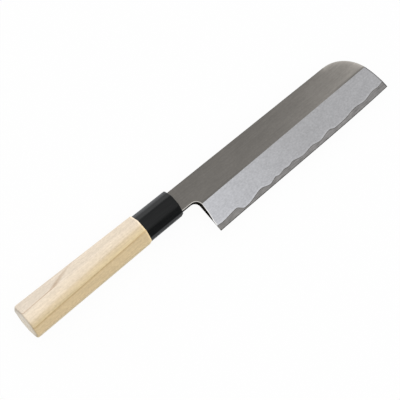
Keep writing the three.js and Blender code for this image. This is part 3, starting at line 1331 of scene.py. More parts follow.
    def hollow_lines(self) -> tuple[Array, list[Array]]:
        """Draws the hollow of the back.

        Returns:
            Its closed outline, and the lines that follow its curve inside.
        """
        start, end = self.heel_x + self.heel_rim, self.tip_x - self.nose_rim
        x = start + (end - start) * (1 - np.cos(np.linspace(0, math.pi, self.HOLLOW_POINTS))) / 2
        middle, half = self.hollow(x)
        wide = half > self.HOLLOW_LEAST
        x, middle, half = x[wide], middle[wide], half[wide]
        outline = np.vstack([rows(x, middle + half), rows(x, middle - half)[::-1]])
        return outline, [
            rows(x, middle + share * half)[self.HOLLOW_LINE_POINTS] for share in self.HOLLOW_LINES
        ]

    def upper_outline(self, inset: float) -> Array:
        """Draws the spine and the nose as one line.

        Args:
            inset: How far it moves in.

        Returns:
            Rows of x and y.
        """
        join, end = QUARTER_TURN - self.join_angle, QUARTER_TURN - self.nose_end_angle
        spine_x = np.linspace(self.shoulder_x, self.nose_x, self.SPINE_POINTS + 1)[:-1]
        spine = rows(spine_x, self.spine_rise - inset)
        top = arc(self.top_centre, self.nose_top_radius - inset, QUARTER_TURN, join, self.NOSE_STEPS)
        front = arc(self.front_centre, self.nose_front_radius - inset, join, end, self.NOSE_STEPS)
        return np.vstack([spine, top, front[1:]])

    def lower_shares(self) -> tuple[Array, Array]:
        """Finds how full the corner is at each point of the lower outline.

        Returns:
            The shares of its line, and those of its dark part.
        """
        height = np.linspace(0, self.heel_drop - self.neck_drop - self.choil_radius, self.CHOIL_POINTS)
        line = np.clip(height / self.choil_line_fade, 0, 1)
        dark = np.clip((height - self.choil_dark_start) / self.choil_dark_fade, 0, 1)
        bend = np.linspace(1, self.neck_dark, self.BEND_STEPS + 1)[1:]
        neck = np.full(self.NECK_POINTS + self.ROUND_STEPS + 1, self.neck_dark)
        full = np.ones(len(bend) + len(neck))
        return np.concatenate([line, full]), np.concatenate([dark, bend, neck])

    def lower_outline(self, line: float, dark: float = 0.0) -> Array:
        """Returns the choil, the neck and the round of the shoulder as one line.

        Args:
            line: How far it moves in, where the corner is full.
            dark: How far it moves in besides, where the dark part of the corner is full.

        Returns:
            Rows of x and y.
        """
        line_share, dark_share = self.lower_shares()
        inset = line * line_share + dark * dark_share
        choil_end = self.CHOIL_POINTS
        bend_end = choil_end + self.BEND_STEPS
        neck_end = bend_end + self.NECK_POINTS
        choil_top = -(self.neck_drop + self.choil_radius)
        rise = np.linspace(0, 1, self.CHOIL_POINTS)
        choil = rows(
            self.heel_x + inset[:choil_end] - self.choil_lean * rise,
            -self.heel_drop + (choil_top + self.heel_drop) * rise,
        )
        corner = (self.neck_length - self.choil_radius, choil_top)
        bend_radius = self.choil_radius + inset[choil_end - 1:bend_end]
        bend = arc(corner, bend_radius, 0, QUARTER_TURN, self.BEND_STEPS)
        turn = (self.shoulder_x + self.shoulder_round, self.shoulder_round - self.neck_drop)
        neck_x = np.linspace(corner[0], turn[0], self.NECK_POINTS + 2)[1:-1]
        neck = rows(neck_x, inset[bend_end:neck_end] - self.neck_drop)
        last_radius = self.shoulder_round - inset[neck_end:]
        last = arc(turn, last_radius, -QUARTER_TURN, -2 * QUARTER_TURN, self.ROUND_STEPS)
        return np.vstack([choil, bend[1:], neck, last])

    def outline(self) -> tuple[Array, Array]:
        """Draws the outline.

        Returns:
            The closed outline, and which stretch of it starts at each point.
        """
        upper, lower = self.upper_outline(0), self.lower_outline(0)
        edge_x = np.linspace(self.tip_x, self.heel_x, self.EDGE_POINTS + 2)[1:-1]
        edge = rows(edge_x, self.edge_y(edge_x))
        half_root = self.tang_root_height / 2
        shoulder = upright(self.shoulder_x, -half_root, half_root)
        kinds = np.concatenate([
            np.where(upper[:, 0] < self.nose_x, Rim.SPINE, Rim.NOSE),
            np.full(len(edge), Rim.EDGE),
            np.where(lower[:, 1] < -self.neck_drop - self.NECK_MARGIN, Rim.CHOIL, Rim.NECK),
            np.full(len(shoulder), Rim.SHOULDER),
        ])
        kinds[len(upper) - 1] = Rim.EDGE
        kinds[len(upper) + len(edge) + len(lower) - 1] = Rim.SHOULDER
        return np.vstack([upper, edge, lower, shoulder]), kinds

    def rounding(self, points: Array, corners: Corners) -> tuple[Array, Array]:
        """Measures the rounded corners.

        Args:
            points: Rows of x and y.
            corners: The corner along the spine and nose, and that along the choil and neck.

        Returns:
            How far the surface falls off at each point, and the Corner that each point lies in.
        """
        upper, lower = corners
        gap, _ = distance_to_line(points, self.upper_outline(0))
        within = np.clip(1 - gap / upper.line, 0, 1)
        drop = upper.depth * (1 - np.sqrt(1 - within**2))
        parts = np.where(gap < upper.line, Corner.UPPER, Corner.NONE)
        gap, near = distance_to_line(points, self.lower_outline(0))
        line_share, dark_share = (share[near] for share in self.lower_shares())
        dark = lower.dark * dark_share
        width = np.maximum(lower.line * line_share + dark, self.NO_GAP)
        within = np.clip(1 - gap / width, 0, 1)
        depth = lower.depth * width / (lower.line + lower.dark)
        drop = np.maximum(drop, depth * (1 - np.sqrt(1 - within**2)))
        parts = np.where(gap < width, Corner.LINE, parts)
        return drop, np.where(gap < dark, Corner.DARK, parts)

    def places(self, count: int) -> Array:
        """Returns places along the blade, from before the heel to past the tip."""
        return np.linspace(self.neck_length - self.OVERHANG, self.tip_x + self.OVERHANG, count)

    def cross_line(self, x: float) -> Array:
        """Returns a line across the neck that passes its outline on both sides."""
        return upright(x, -self.neck_drop - self.OVERHANG, self.spine_rise + self.OVERHANG)

    def plan(self, corners: Corners) -> Plan:
        """Starts a plan with the outline, the rounded corners and the weld.

        Args:
            corners: The corner along the spine and nose, and that along the choil and neck.

        Returns:
            The plan.
        """
        plan = Plan()
        upper, lower = corners
        plan.draw(self.outline()[0], closed=True)
        for share in self.UPPER_CORNER_LINES:
            plan.draw(self.upper_outline(share * upper.line))
        for line, dark in self.LOWER_CORNER_LINES:
            if line or lower.dark:
                plan.draw(self.lower_outline(line * lower.line, dark * lower.dark))
        x = self.places(self.WELD_POINTS)
        plan.draw(rows(x, self.weld_y(x)))
        for reach in (self.wave_reach, self.weld_level_start):
            plan.draw(rows(x, self.edge_y(x) + reach))
        return plan

    def iron_plan(self) -> Plan:
        """Draws the soft iron, with lines for its ridge, its layers and its gleam.

        Returns:
            The plan.
        """
        plan = self.plan(self.face_corners)
        x = self.places(self.RIDGE_POINTS)
        plan.draw(rows(x, self.ridge_y(x)))
        x = self.places(self.ECHO_POINTS)
        for step in self.OVER_WELD:
            plan.draw(rows(x, self.weld_y(x) + step))
        for step in self.FROM_NOSE:
            plan.draw(self.upper_outline(step)[self.SPINE_POINTS - self.NOSE_LEAD_POINTS:])
        for from_tip in self.FROM_TIP:
            x = self.tip_x - from_tip
            plan.draw(upright(x, self.ridge_y(x), self.spine_rise))
        for x in (self.pocket_x, self.pocket_x + self.POCKET_STEP):
            plan.draw(self.cross_line(x))
        return plan

    def steel_plan(self) -> Plan:
        """Draws the hard steel, with lines for its band, its rear end and its hollow.

        Returns:
            The plan.
        """
        plan = self.plan(self.back_corners)
        x = self.places(self.WELD_POINTS)
        for step in self.UNDER_WELD:
            plan.draw(rows(x, self.weld_y(x) - step))
        plan.draw(rows(x, self.edge_y(x) + self.cutting_width))
        plan.draw(self.cross_line(self.steel_start))
        outline, inner_lines = self.hollow_lines()
        plan.draw(outline, closed=True)
        for line in inner_lines:
            plan.draw(line)
        return plan

    def in_iron(self, points: Array) -> Array:
        """Tells which points in plan have soft iron over the weld."""
        return inside(points, self.outline()[0]) & (points[:, 1] > self.weld_y(points[:, 0]))

    def in_steel(self, points: Array) -> Array:
        """Tells which points in plan have hard steel."""
        return inside(points, self.outline()[0]) & (points[:, 0] > self.steel_start)

    def shell(
        self,
        points: Array,
        triangles: Array,
        upper: tuple[Array, Array],
        lower: tuple[Array, Array],
        walls: Callable[[Array], Array],
    ) -> Shell:
        """Closes a plate between an upper and a lower surface.

        Args:
            points: The plate's points in plan.
            triangles: Its triangles in plan.
            upper: Height of each point on the upper side, and what each triangle is there.
            lower: The same for the lower side.
            walls: Tells what a wall is, from its middle in plan.

        Returns:
            The closed shell.
        """
        count = len(points)
        shell = Shell([(*point, z) for point, z in zip(points, upper[0])])
        under = np.arange(count)
        thick = upper[0] - lower[0] > self.NO_GAP
        under[thick] = count + np.arange(thick.sum())
        shell.corners.extend((*points[place], lower[0][place]) for place in np.flatnonzero(thick))
        for face, above, below in zip(triangles, upper[1], lower[1]):
            shell.add(face, Face(above))
            if thick[face].any():
                shell.add(under[face[::-1]], Face(below))
        directed = np.vstack([triangles[:, [0, 1]], triangles[:, [1, 2]], triangles[:, [2, 0]]])
        known = {(int(a), int(b)) for a, b in directed}
        rim = np.array([edge for edge in sorted(known) if edge[::-1] not in known])
        for (a, b), kind in zip(rim, walls(points[rim].mean(axis=1))):
            shell.add((a, under[a], under[b], b), Face(kind))
        return shell

    def wall_kinds(self, middles: Array) -> Array:
        """Tells what the walls on the outline are.

        Args:
            middles: Their middle points in plan.

        Returns:
            A Face for each wall.
        """
        line, kinds = self.outline()
        _, nearest = distance_to_line(middles, np.vstack([line, line[:1]]))
        rims = kinds[nearest]
        # The walls of the choil, the neck and the shoulder are near black: painted shade.
        dark = np.isin(rims, (Rim.CHOIL, Rim.NECK, Rim.SHOULDER))
        return np.where(dark, Face.SCALE, np.where(rims == Rim.EDGE, Face.CUTTING, Face.SPINE))

    def steel_wall_kinds(self, middles: Array) -> Array:
        """Returns the finish of the steel's walls, which is dark at its rear end."""
        at_rear = middles[:, 0] < self.steel_start + self.POCKET_STEP / 2
        return np.where(at_rear, Face.SCALE, self.wall_kinds(middles))

    def add_tang(self, shell: Shell) -> None:
        """Opens the shoulder of the iron shell and grows the tang out of it.

        Args:
            shell: The closed shell of the iron body.
        """
        half_root = self.tang_root_height / 2
        corners = np.array(shell.corners)
        on_shoulder = np.abs(corners[:, 0] - self.shoulder_x) < self.NEAR
        ends = []
        for y in (-half_root, half_root):
            places = np.flatnonzero(on_shoulder & (np.abs(corners[:, 1] - y) < self.NEAR))
            ends.append([int(place) for place in places[np.argsort(corners[places, 2])]])
        (low_a, high_a), (low_b, high_b) = ends
        rim = (low_a, high_a, high_b, low_b)
        opened = next(place for place, face in enumerate(shell.faces) if set(rim) == set(face))
        del shell.faces[opened], shell.kinds[opened]
        first = len(shell.corners)
        for x, half_height, half_width in (
            (self.shoulder_x, half_root, self.tang_root_width / 2),
            (-self.tang_length, self.tang_end_height / 2, self.tang_end_thickness / 2),
        ):
            for y, z in ((-1, -1), (-1, 1), (1, 1), (1, -1)):
                shell.corners.append((x, y * half_height, self.bench.axis_height + z * half_width))
        near, far = range(first, first + 4), range(first + 4, first + 8)
        for place in range(4):
            after = (place + 1) % 4
            shell.add((rim[place], rim[after], near[after], near[place]), Face.SCALE)
            shell.add((near[place], near[after], far[after], far[place]), Face.SCALE)
        shell.add(far, Face.SCALE)

    def iron_faces(self, middles: Array) -> Array:
        """Tells what the iron's upper side is at each place.

        Args:
            middles: Middle points of its triangles in plan.

        Returns:
            A Face for each point.
        """
        _, parts = self.rounding(middles, self.face_corners)
        on_flat = middles[:, 1] > self.ridge_y(middles[:, 0])
        # Near the nose the upper corner takes the painted highlight; along the rest of the spine it stays
        # dark.
        pale = on_flat & (middles[:, 0] > self.nose_x)
        # The corners' dark outer parts are near black: painted shade.
        return np.select(
            [parts == Corner.DARK, parts == Corner.LINE, parts == Corner.UPPER],
            [Face.SCALE, Face.EASED, np.where(pale, Face.EASED, Face.CORNER)],
            np.where(on_flat, Face.FLAT, Face.BEVEL),
        )

    def iron_shell(self) -> Shell:
        """Builds the soft iron body with its neck and tang.

        Returns:
            The closed shell.
        """
        points, triangles = self.iron_plan().triangles(self.in_iron)
        x, y = points.T
        in_neck = x < self.pocket_x + self.POCKET_STEP / 2
        from_weld = y - self.weld_y(x)
        over_weld = self.weld_z(x, y) + self.weld_gap * np.clip(from_weld, 0, 1)
        bottom = np.where(in_neck, 0.0, over_weld)
        top = np.maximum(self.face_z(x, y), bottom)
        bottom = np.where((from_weld < self.NEAR) & ~in_neck, top, bottom)
        drop, _ = self.rounding(points, self.face_corners)
        top = top - np.minimum(drop, self.CORNER_LIMIT * (top - bottom))
        back_drop, _ = self.rounding(points, self.back_corners)
        bottom = bottom + np.where(in_neck, back_drop, 0)
        above = self.iron_faces(points[triangles].mean(axis=1))
        below = np.full(len(triangles), Face.FLAT)
        shell = self.shell(points, triangles, (top, above), (bottom, below), self.wall_kinds)
        self.add_tang(shell)
        return shell

    def steel_shell(self) -> Shell:
        """Builds the hard steel layer with its hollow back.

        Returns:
            The closed shell.
        """
        points, triangles = self.steel_plan().triangles(self.in_steel)
        hollow, _ = self.hollow_lines()
        x, y = points.T
        top = np.minimum(self.face_z(x, y), self.weld_z(x, y))
        bottom = np.where(inside(points, hollow), self.back_z(x, y), 0.0)
        drop, _ = self.rounding(points, self.back_corners)
        bottom = bottom + np.minimum(drop, self.CORNER_LIMIT * (top - bottom))
        middles = points[triangles].mean(axis=1)
        from_edge = middles[:, 1] - self.edge_y(middles[:, 0])
        shows = middles[:, 1] < self.weld_y(middles[:, 0])
        band = np.where(from_edge < self.cutting_width, Face.CUTTING, Face.BAND)
        above = np.where(shows, band, Face.FLAT)
        _, parts = self.rounding(middles, self.back_corners)
        back = np.where(inside(middles, hollow), Face.HOLLOW, Face.RIM)
        below = np.where(parts > Corner.NONE, Face.EASED, back)
        return self.shell(points, triangles, (top, above), (bottom, below), self.steel_wall_kinds)

    def finishes(self) -> list[bpy.types.Material]:
        """Makes the blade's finishes.

        Returns:
            A material for each kind of face, in order.
        """
        ridge = [float(self.ridge_y(np.array(x))) for x in (0.0, 1.0)]
        kinds = {
            # The flat's dark grey is painted reflection: it stands for the dark surroundings that the
            # polished flat mirrors.
            Face.FLAT: PolishedFlat(
                "polished_flat", roughness=0.42, colour=(108, 105, 101), line_depth=0.002, line_shade=0.2,
                patchiness=0.14, ridge_start=ridge[0], ridge_slope=ridge[1] - ridge[0], tip_x=self.tip_x,
            ),
            Face.BEVEL: HazyBevel(
                "hazy_bevel", roughness=0.5, heel_colour=(190, 191, 195), nose_colour=(170, 170, 172),
                start=self.heel_x, end=self.heel_x + self.bevel_fade,
            ),
            # Near white: a painted highlight on the rounded corners.
            Face.EASED: HighlitCorner(
                "highlit_corner", roughness=0.3, colour=(226, 225, 224), flat_colour=(180, 177, 172),
                bevel_top=ridge[0],
            ),
            Face.SPINE: BrushedMetal("satin_spine", roughness=0.4, colour=(128, 124, 119), line_depth=0.002),
            # Near black: painted shade on the choil and the neck, and the fire's skin on the tang.
            Face.SCALE: ScaleAndPaintedShade(
                "forge_scale_and_painted_shade", roughness=0.65, colour=(21, 19, 17), spot_colour=(44, 41, 38),
            ),
            Face.BAND: HardSteelBand(
                "hard_steel_band", roughness=0.38, heel_colour=(126, 124, 122), nose_colour=(136, 134, 133),
                line_colour=(82, 79, 75), line_width=0.5,
                start=self.heel_x, end=self.heel_x + self.band_fade,
            ),
            Face.CUTTING: BrushedMetal("cutting_bevel", roughness=0.3, colour=(78, 74, 70)),
            Face.RIM: BrushedMetal("polished_rim", roughness=0.22, colour=(196, 196, 197)),
            Face.HOLLOW: BrushedMetal(
                "satin_hollow", roughness=0.4, colour=(160, 159, 158), line_depth=0.003,
            ),
            Face.CORNER: BrushedMetal("spine_corner", roughness=0.35, colour=(92, 88, 84)),
        }
        return [kinds[face].make(self.bench) for face in Face]

    def piece(self, name: str, shell: Shell, finishes: list[bpy.types.Material]) -> bpy.types.Object:
        """Turns a shell into a piece with its distances and finishes.

        Args:
            name: The piece's name.
            shell: Its closed shell.
            finishes: The blade's materials.

        Returns:
            The piece.
        """
        mesh = bpy.data.meshes.new(name)
        mesh.from_pydata(self.bench.place(shell.corners).tolist(), [], shell.faces)
        used = sorted(set(shell.kinds))
        for kind in used:
            mesh.materials.append(finishes[kind])
        mesh.polygons.foreach_set("material_index", [used.index(kind) for kind in shell.kinds])
        plan = np.array(shell.corners)[:, :2]
        nose = self.upper_outline(0)[self.SPINE_POINTS:]
        distances = {
            Measure.FROM_WELD: plan[:, 1] - self.weld_y(plan[:, 0]),
            Measure.FROM_NOSE: distance_to_line(plan, nose)[0],
        }
        for measure, values in distances.items():
            layer = mesh.attributes.new(measure.value, "FLOAT", "POINT")
            layer.data.foreach_set("value", values.astype(np.float32))
        with rework(mesh) as work:
            for face in work.faces:
                face.smooth = True
            for edge in work.edges:
                edge.smooth = len({face.material_index for face in edge.link_faces}) == 1
        mesh.validate()
        return put_in_scene(name, mesh)

    def build(self) -> None:
        """Builds and dresses the soft iron body and the hard steel edge."""
        finishes = self.finishes()
        iron = self.piece("iron_body", self.iron_shell(), finishes)
        hand_over(iron, "soft_iron_body")
        steel = self.piece("steel_edge", self.steel_shell(), finishes)
        hand_over(steel, "hard_steel_edge")


@dataclass(frozen=True)
class EightSides:
    """An eight-sided section.

    Attributes:
        height: From the lower to the upper flat.
        width: From the back to the face flat.
        side_flat: Height of the flats at the face and the back.
        top_flat: Width of the upper and lower flats.
    """

    height: float
    width: float
    side_flat: float
    top_flat: float

    def sizes(self, prefix: str = "") -> dict[str, float]:
        """Returns its sizes by the names of a rule's inputs."""
        values = (self.height, self.width, self.side_flat, self.top_flat)
        return {prefix + name: value for name, value in zip(BarRule.SECTION, values)}

    def inset(self, step: float) -> "EightSides":
        """Makes a smaller section.

        Args:
            step: How far all eight sides move in.

        Returns:
            The section.
        """
        fall_y = (self.height - self.side_flat) / 2
        fall_z = (self.width - self.top_flat) / 2
        gain = step * (fall_y + fall_z - math.hypot(fall_y, fall_z))
        return EightSides(
            self.height - 2 * step,
            self.width - 2 * step,
            self.side_flat - 2 * (step - gain / fall_z),
            self.top_flat - 2 * (step - gain / fall_y),
        )


class GeometryGraph(NodeGraph):
    """A tree of geometry nodes with named inputs."""

    def __init__(self, name: str, sizes: Iterable[str]) -> None:
        """Starts a tree that gives out one geometry.

        Args:
            name: The tree's name.
            sizes: Names of the inputs that are lengths.
        """
        super().__init__(bpy.data.node_groups.new(name, "GeometryNodeTree"))
        self.tree.interface.new_socket("Geometry", in_out="OUTPUT", socket_type="NodeSocketGeometry")
        self.source = self.add("NodeGroupInput")
        self.size = {size: self.named(size) for size in sizes}

    def named(self, name: str, kind: str = "NodeSocketFloat") -> Socket:
        """Adds a named input and returns its socket inside the tree."""
        self.tree.interface.new_socket(name, in_out="INPUT", socket_type=kind)
        return self.source.outputs[name]

    def moved(self, geometry: Socket, position: Socket) -> Socket:
        """Returns a geometry whose points have a new position."""
        inputs = {"Geometry": geometry, "Position": position}
        return self.add("GeometryNodeSetPosition", inputs).outputs[0]


class BarRule(GeometryGraph):
    """The rule of an eight-sided bar that tapers along x.

    The bar is a sheet of rings by places round the section. Its first rings form the rounded butt, its last
    rings the rounded front, and both ends run together in one point.
    """

    SECTION = ("Height", "Width", "Side Flat", "Top Flat")
    SIZES = (
        "Rear X", "Length", *SECTION, "Front Height", "Front Width",
        "Ridge Round", "Rear Round", "Front Round", "Dome",
    )
    CORNER_SIDES = ((1, 1), (1, 1), (-1, 1), (-1, 1), (-1, -1), (-1, -1), (1, -1), (1, -1))

    # Rings of the butt's face, its round, the long sides, the front's round and its face.
    STEPS = (8, 6, 10, 6, 4)
    RIDGE_POINTS = 6
    MERGE_GAP = 0.002

    def __init__(self) -> None:
        """Builds the tree."""
        super().__init__("eight_sided_bar", self.SIZES)
        self.add("NodeGroupOutput", {0: self.bend(self.section())})

    def section(self) -> Socket:
        """Adds the section with rounded ridges, with x for the height and y for the width.

        Returns:
            The section's curve.
        """
        half = {name: self.times(self.size[name], 0.5) for name in self.SECTION}
        corner = self.add("GeometryNodeIndexSwitch", data_type="VECTOR")
        for _ in self.CORNER_SIDES[2:]:
            corner.index_switch_items.new()
        self.feed(corner.inputs[0], self.add("GeometryNodeInputIndex").outputs[0])
        for place, (up, out) in enumerate(self.CORNER_SIDES):
            on_top = place % 4 in (0, 3)
            y = half["Height"] if on_top else half["Side Flat"]
            z = half["Top Flat"] if on_top else half["Width"]
            self.feed(corner.inputs[place + 1], self.combine(self.times(y, up), self.times(z, out), 0.0))
        sides = {"Resolution": len(self.CORNER_SIDES)}
        circle = self.add("GeometryNodeCurvePrimitiveCircle", sides, mode="RADIUS")
        rounding = {
            "Curve": self.moved(circle.outputs["Curve"], corner.outputs[0]),
            "Count": self.RIDGE_POINTS, "Radius": self.size["Ridge Round"], "Limit Radius": True,
        }
        return self.add("GeometryNodeFilletCurve", rounding, mode="POLY").outputs[0]

    def sheet(self, section: Socket) -> tuple[Socket, Socket, Socket]:
        """Adds the flat sheet that becomes the bar.

        Args:
            section: The section's curve.

        Returns:
            The sheet, the number of each point's ring, and its place round the section.
        """
        size = self.add("GeometryNodeAttributeDomainSize", {0: section}, component="CURVE")
        count = size.outputs["Point Count"]
        row = self.math("ADD", count, 1.0)
        grid = self.add("GeometryNodeMeshGrid", {"Vertices X": sum(self.STEPS) + 1, "Vertices Y": row})
        index = self.add("GeometryNodeInputIndex").outputs[0]
        # A part of a step is added, so that no rounding error takes FLOOR to the number before.
        ring = self.math("FLOOR", self.over(self.math("ADD", index, 0.5), row))
        in_row = self.minus(index, self.times(ring, row))
        around = self.math("MODULO", self.math("ADD", in_row, 0.25), count)
        return grid.outputs["Mesh"], ring, self.math("FLOOR", around)

    def bend(self, section: Socket) -> Socket:
        """Adds a sheet, bends it into the bar and closes it.

        Args:
            section: The section's curve.

        Returns:
            The closed bar.
        """
        size = self.size
        sheet, ring, around = self.sheet(section)
        starts = [sum(self.STEPS[:place]) for place in range(len(self.STEPS))]
        dome, rear, body, front, face = (
            self.progress(ring, float(start), float(start + count))
            for start, count in zip(starts, self.STEPS)
        )
        rear_turn = self.times(rear, QUARTER_TURN)
        front_turn = self.times(front, QUARTER_TURN)
        rounds = self.total(size["Dome"], size["Rear Round"], size["Front Round"])
        x = self.total(
            size["Rear X"],
            self.times(size["Dome"], self.times(dome, dome)),
            self.times(size["Rear Round"], self.minus(1.0, self.math("COSINE", rear_turn))),
            self.times(self.minus(size["Length"], rounds), body),
            self.times(size["Front Round"], self.math("SINE", front_turn)),
        )
        inset = self.total(
            self.times(size["Rear Round"], self.minus(1.0, self.math("SINE", rear_turn))),
            self.times(size["Front Round"], self.minus(1.0, self.math("COSINE", front_turn))),
        )
        cap = self.times(dome, self.minus(1.0, face))
        corners = self.add("GeometryNodeInputPosition").outputs[0]
        inputs = {"Geometry": section, "Value": corners, "Index": around}
        sample = self.add("GeometryNodeSampleIndex", inputs, data_type="FLOAT_VECTOR", domain="POINT")
        y, z, _ = self.split(sample.outputs[0])
        spread = []
        for place, first, last in ((y, "Height", "Front Height"), (z, "Width", "Front Width")):
            span = self.scaled(self.minus(size[last], size[first]), body, size[first])
            ratio = self.over(self.minus(span, self.times(inset, 2.0)), size[first])
            spread.append(self.times(self.times(place, ratio), cap))
        bar = self.moved(sheet, self.combine(x, *spread))
        merged = self.add("GeometryNodeMergeByDistance", {"Geometry": bar, "Distance": self.MERGE_GAP})
        return merged.outputs[0]


class PieceRule(GeometryGraph):
    """The rule of a handle piece, which is cut out of an eight-sided bar."""

    NAME = ""
    SIZES: tuple[str, ...] = ()
    CUT_MARGIN = 3.0
    ROUND_SIDES = 64

    def __init__(self, bar: BarRule, bench: Bench) -> None:
        """Builds the tree, which places the piece on the bench, smooths it and gives it its finish.

        Args:
            bar: The rule of the bar.
            bench: Where the knife's axes lie.
        """
        super().__init__(self.NAME, bar.SIZES + self.SIZES)
        self.bar_tree = bar.tree
        place = bench.origin + Vector((0, 0, bench.axis_height * MM))
        inputs = {"Geometry": self.solid(), "Translation": place, "Scale": (MM, MM, MM)}
        placed = self.add("GeometryNodeTransform", inputs)
        smooth = self.add("GeometryNodeSetShadeSmooth", {"Geometry": placed.outputs[0]})
        real = self.add("GeometryNodeRealizeInstances", {0: smooth.outputs[0]})
        finish = self.named("Finish", "NodeSocketMaterial")
        dressed = self.add("GeometryNodeSetMaterial", {"Geometry": real.outputs[0], "Material": finish})
        self.add("NodeGroupOutput", {0: dressed.outputs[0]})

    def solid(self) -> Socket:
        """Returns the finished solid in millimetres."""
        raise NotImplementedError(self.NAME)

    def bar(self, sizes: dict[str, Value]) -> Socket:
        """Returns a bar, from a number or a socket for each of its sizes."""
        inputs = {name: sizes[name] for name in BarRule.SIZES}
        return self.add("GeometryNodeGroup", inputs, node_tree=self.bar_tree).outputs[0]

    def cylinder(self, radius: Socket, start: Value, end: Value) -> Socket:
        """Adds a cylinder along x.

        Args:
            radius: Its radius.
            start: Its rear end.
            end: Its front end.

        Returns:
            The cylinder.
        """
        inputs = {"Vertices": self.ROUND_SIDES, "Radius": radius, "Depth": self.minus(end, start)}
        node = self.add("GeometryNodeMeshCylinder", inputs, fill_type="NGON")
        middle = self.times(self.math("ADD", start, end), 0.5)
        laid = self.add("GeometryNodeTransform", {
            "Geometry": node.outputs["Mesh"],
            "Translation": self.combine(middle, 0.0, 0.0),
            "Rotation": (0, QUARTER_TURN, 0),
        })
        return laid.outputs[0]

    def join(self, operation: str, first: Socket, second: Socket) -> Socket:
        """Joins or cuts two solids.

        Args:
            operation: UNION or DIFFERENCE.
            first: The solid that is joined or cut.
            second: The solid that is added or taken away.

        Returns:
            The result.
        """
        node = self.add("GeometryNodeMeshBoolean", operation=operation, solver="EXACT")
        self.feed(node.inputs["Mesh 2" if operation == "UNION" else "Mesh 1"], first)
        self.feed(node.inputs["Mesh 2"], second)
        return node.outputs["Mesh"]


class GripRule(PieceRule):
    """The rule of the wooden grip: a bar with a tenon and a mortise."""

    NAME = "grip_rule"
    SIZES = (
        "Tenon Radius", "Tenon End", "Mortise Depth", "Root Height", "End Height", "Root Width", "End Width",
    )

    def tang_room(self) -> Socket:
        """Adds the room for the tapered tang.

        Returns:
            The solid that is cut out.
        """
        cube = self.add("GeometryNodeMeshCube", {"Size": (1, 1, 1)})
        x, y, z = self.split(self.add("GeometryNodeInputPosition").outputs[0])
        share = self.minus(0.5, x)
        far = self.times(self.times(self.size["Mortise Depth"], -1.0), share)
        spread = []
        for value, side in ((y, "Height"), (z, "Width")):
            root, end = self.size[f"Root {side}"], self.size[f"End {side}"]
            spread.append(self.times(value, self.scaled(self.minus(end, root), share, root)))
        return self.moved(cube.outputs["Mesh"], self.combine(far, *spread))

    def solid(self) -> Socket:
        """Joins the bar and the tenon, and cuts the mortise.

        Returns:
            The grip in millimetres.
        """
        start = self.total(self.size["Rear X"], self.size["Length"], -self.CUT_MARGIN)
        tenon = self.cylinder(self.size["Tenon Radius"], start, self.size["Tenon End"])
        whole = self.join("UNION", self.bar(self.size), tenon)
        return self.join("DIFFERENCE", whole, self.tang_room())


class FerruleRule(PieceRule):
    """The rule of the ferrule: a bar with a round socket and a slot for the tang."""

    NAME = "ferrule_rule"
    SIZES = ("Socket Radius", "Socket End", *(f"Slot {name}" for name in BarRule.SECTION))

    def solid(self) -> Socket:
        """Cuts the socket and the slot out of the bar.

        Returns:
            The ferrule in millimetres.
        """
        size = self.size
        rear = self.total(size["Rear X"], -self.CUT_MARGIN)
        socket = self.cylinder(size["Socket Radius"], rear, size["Socket End"])
        slot_start = self.total(size["Socket End"], -self.CUT_MARGIN)
        slot = self.bar({
            "Rear X": slot_start, "Length": self.minus(self.CUT_MARGIN, slot_start),
            **{name: size[f"Slot {name}"] for name in BarRule.SECTION},
            "Front Height": size["Slot Height"], "Front Width": size["Slot Width"],
            "Ridge Round": size["Ridge Round"], "Rear Round": 0.0, "Front Round": 0.0, "Dome": 0.0,
        })
        hollow = self.join("DIFFERENCE", self.bar(size), socket)
        return self.join("DIFFERENCE", hollow, slot)


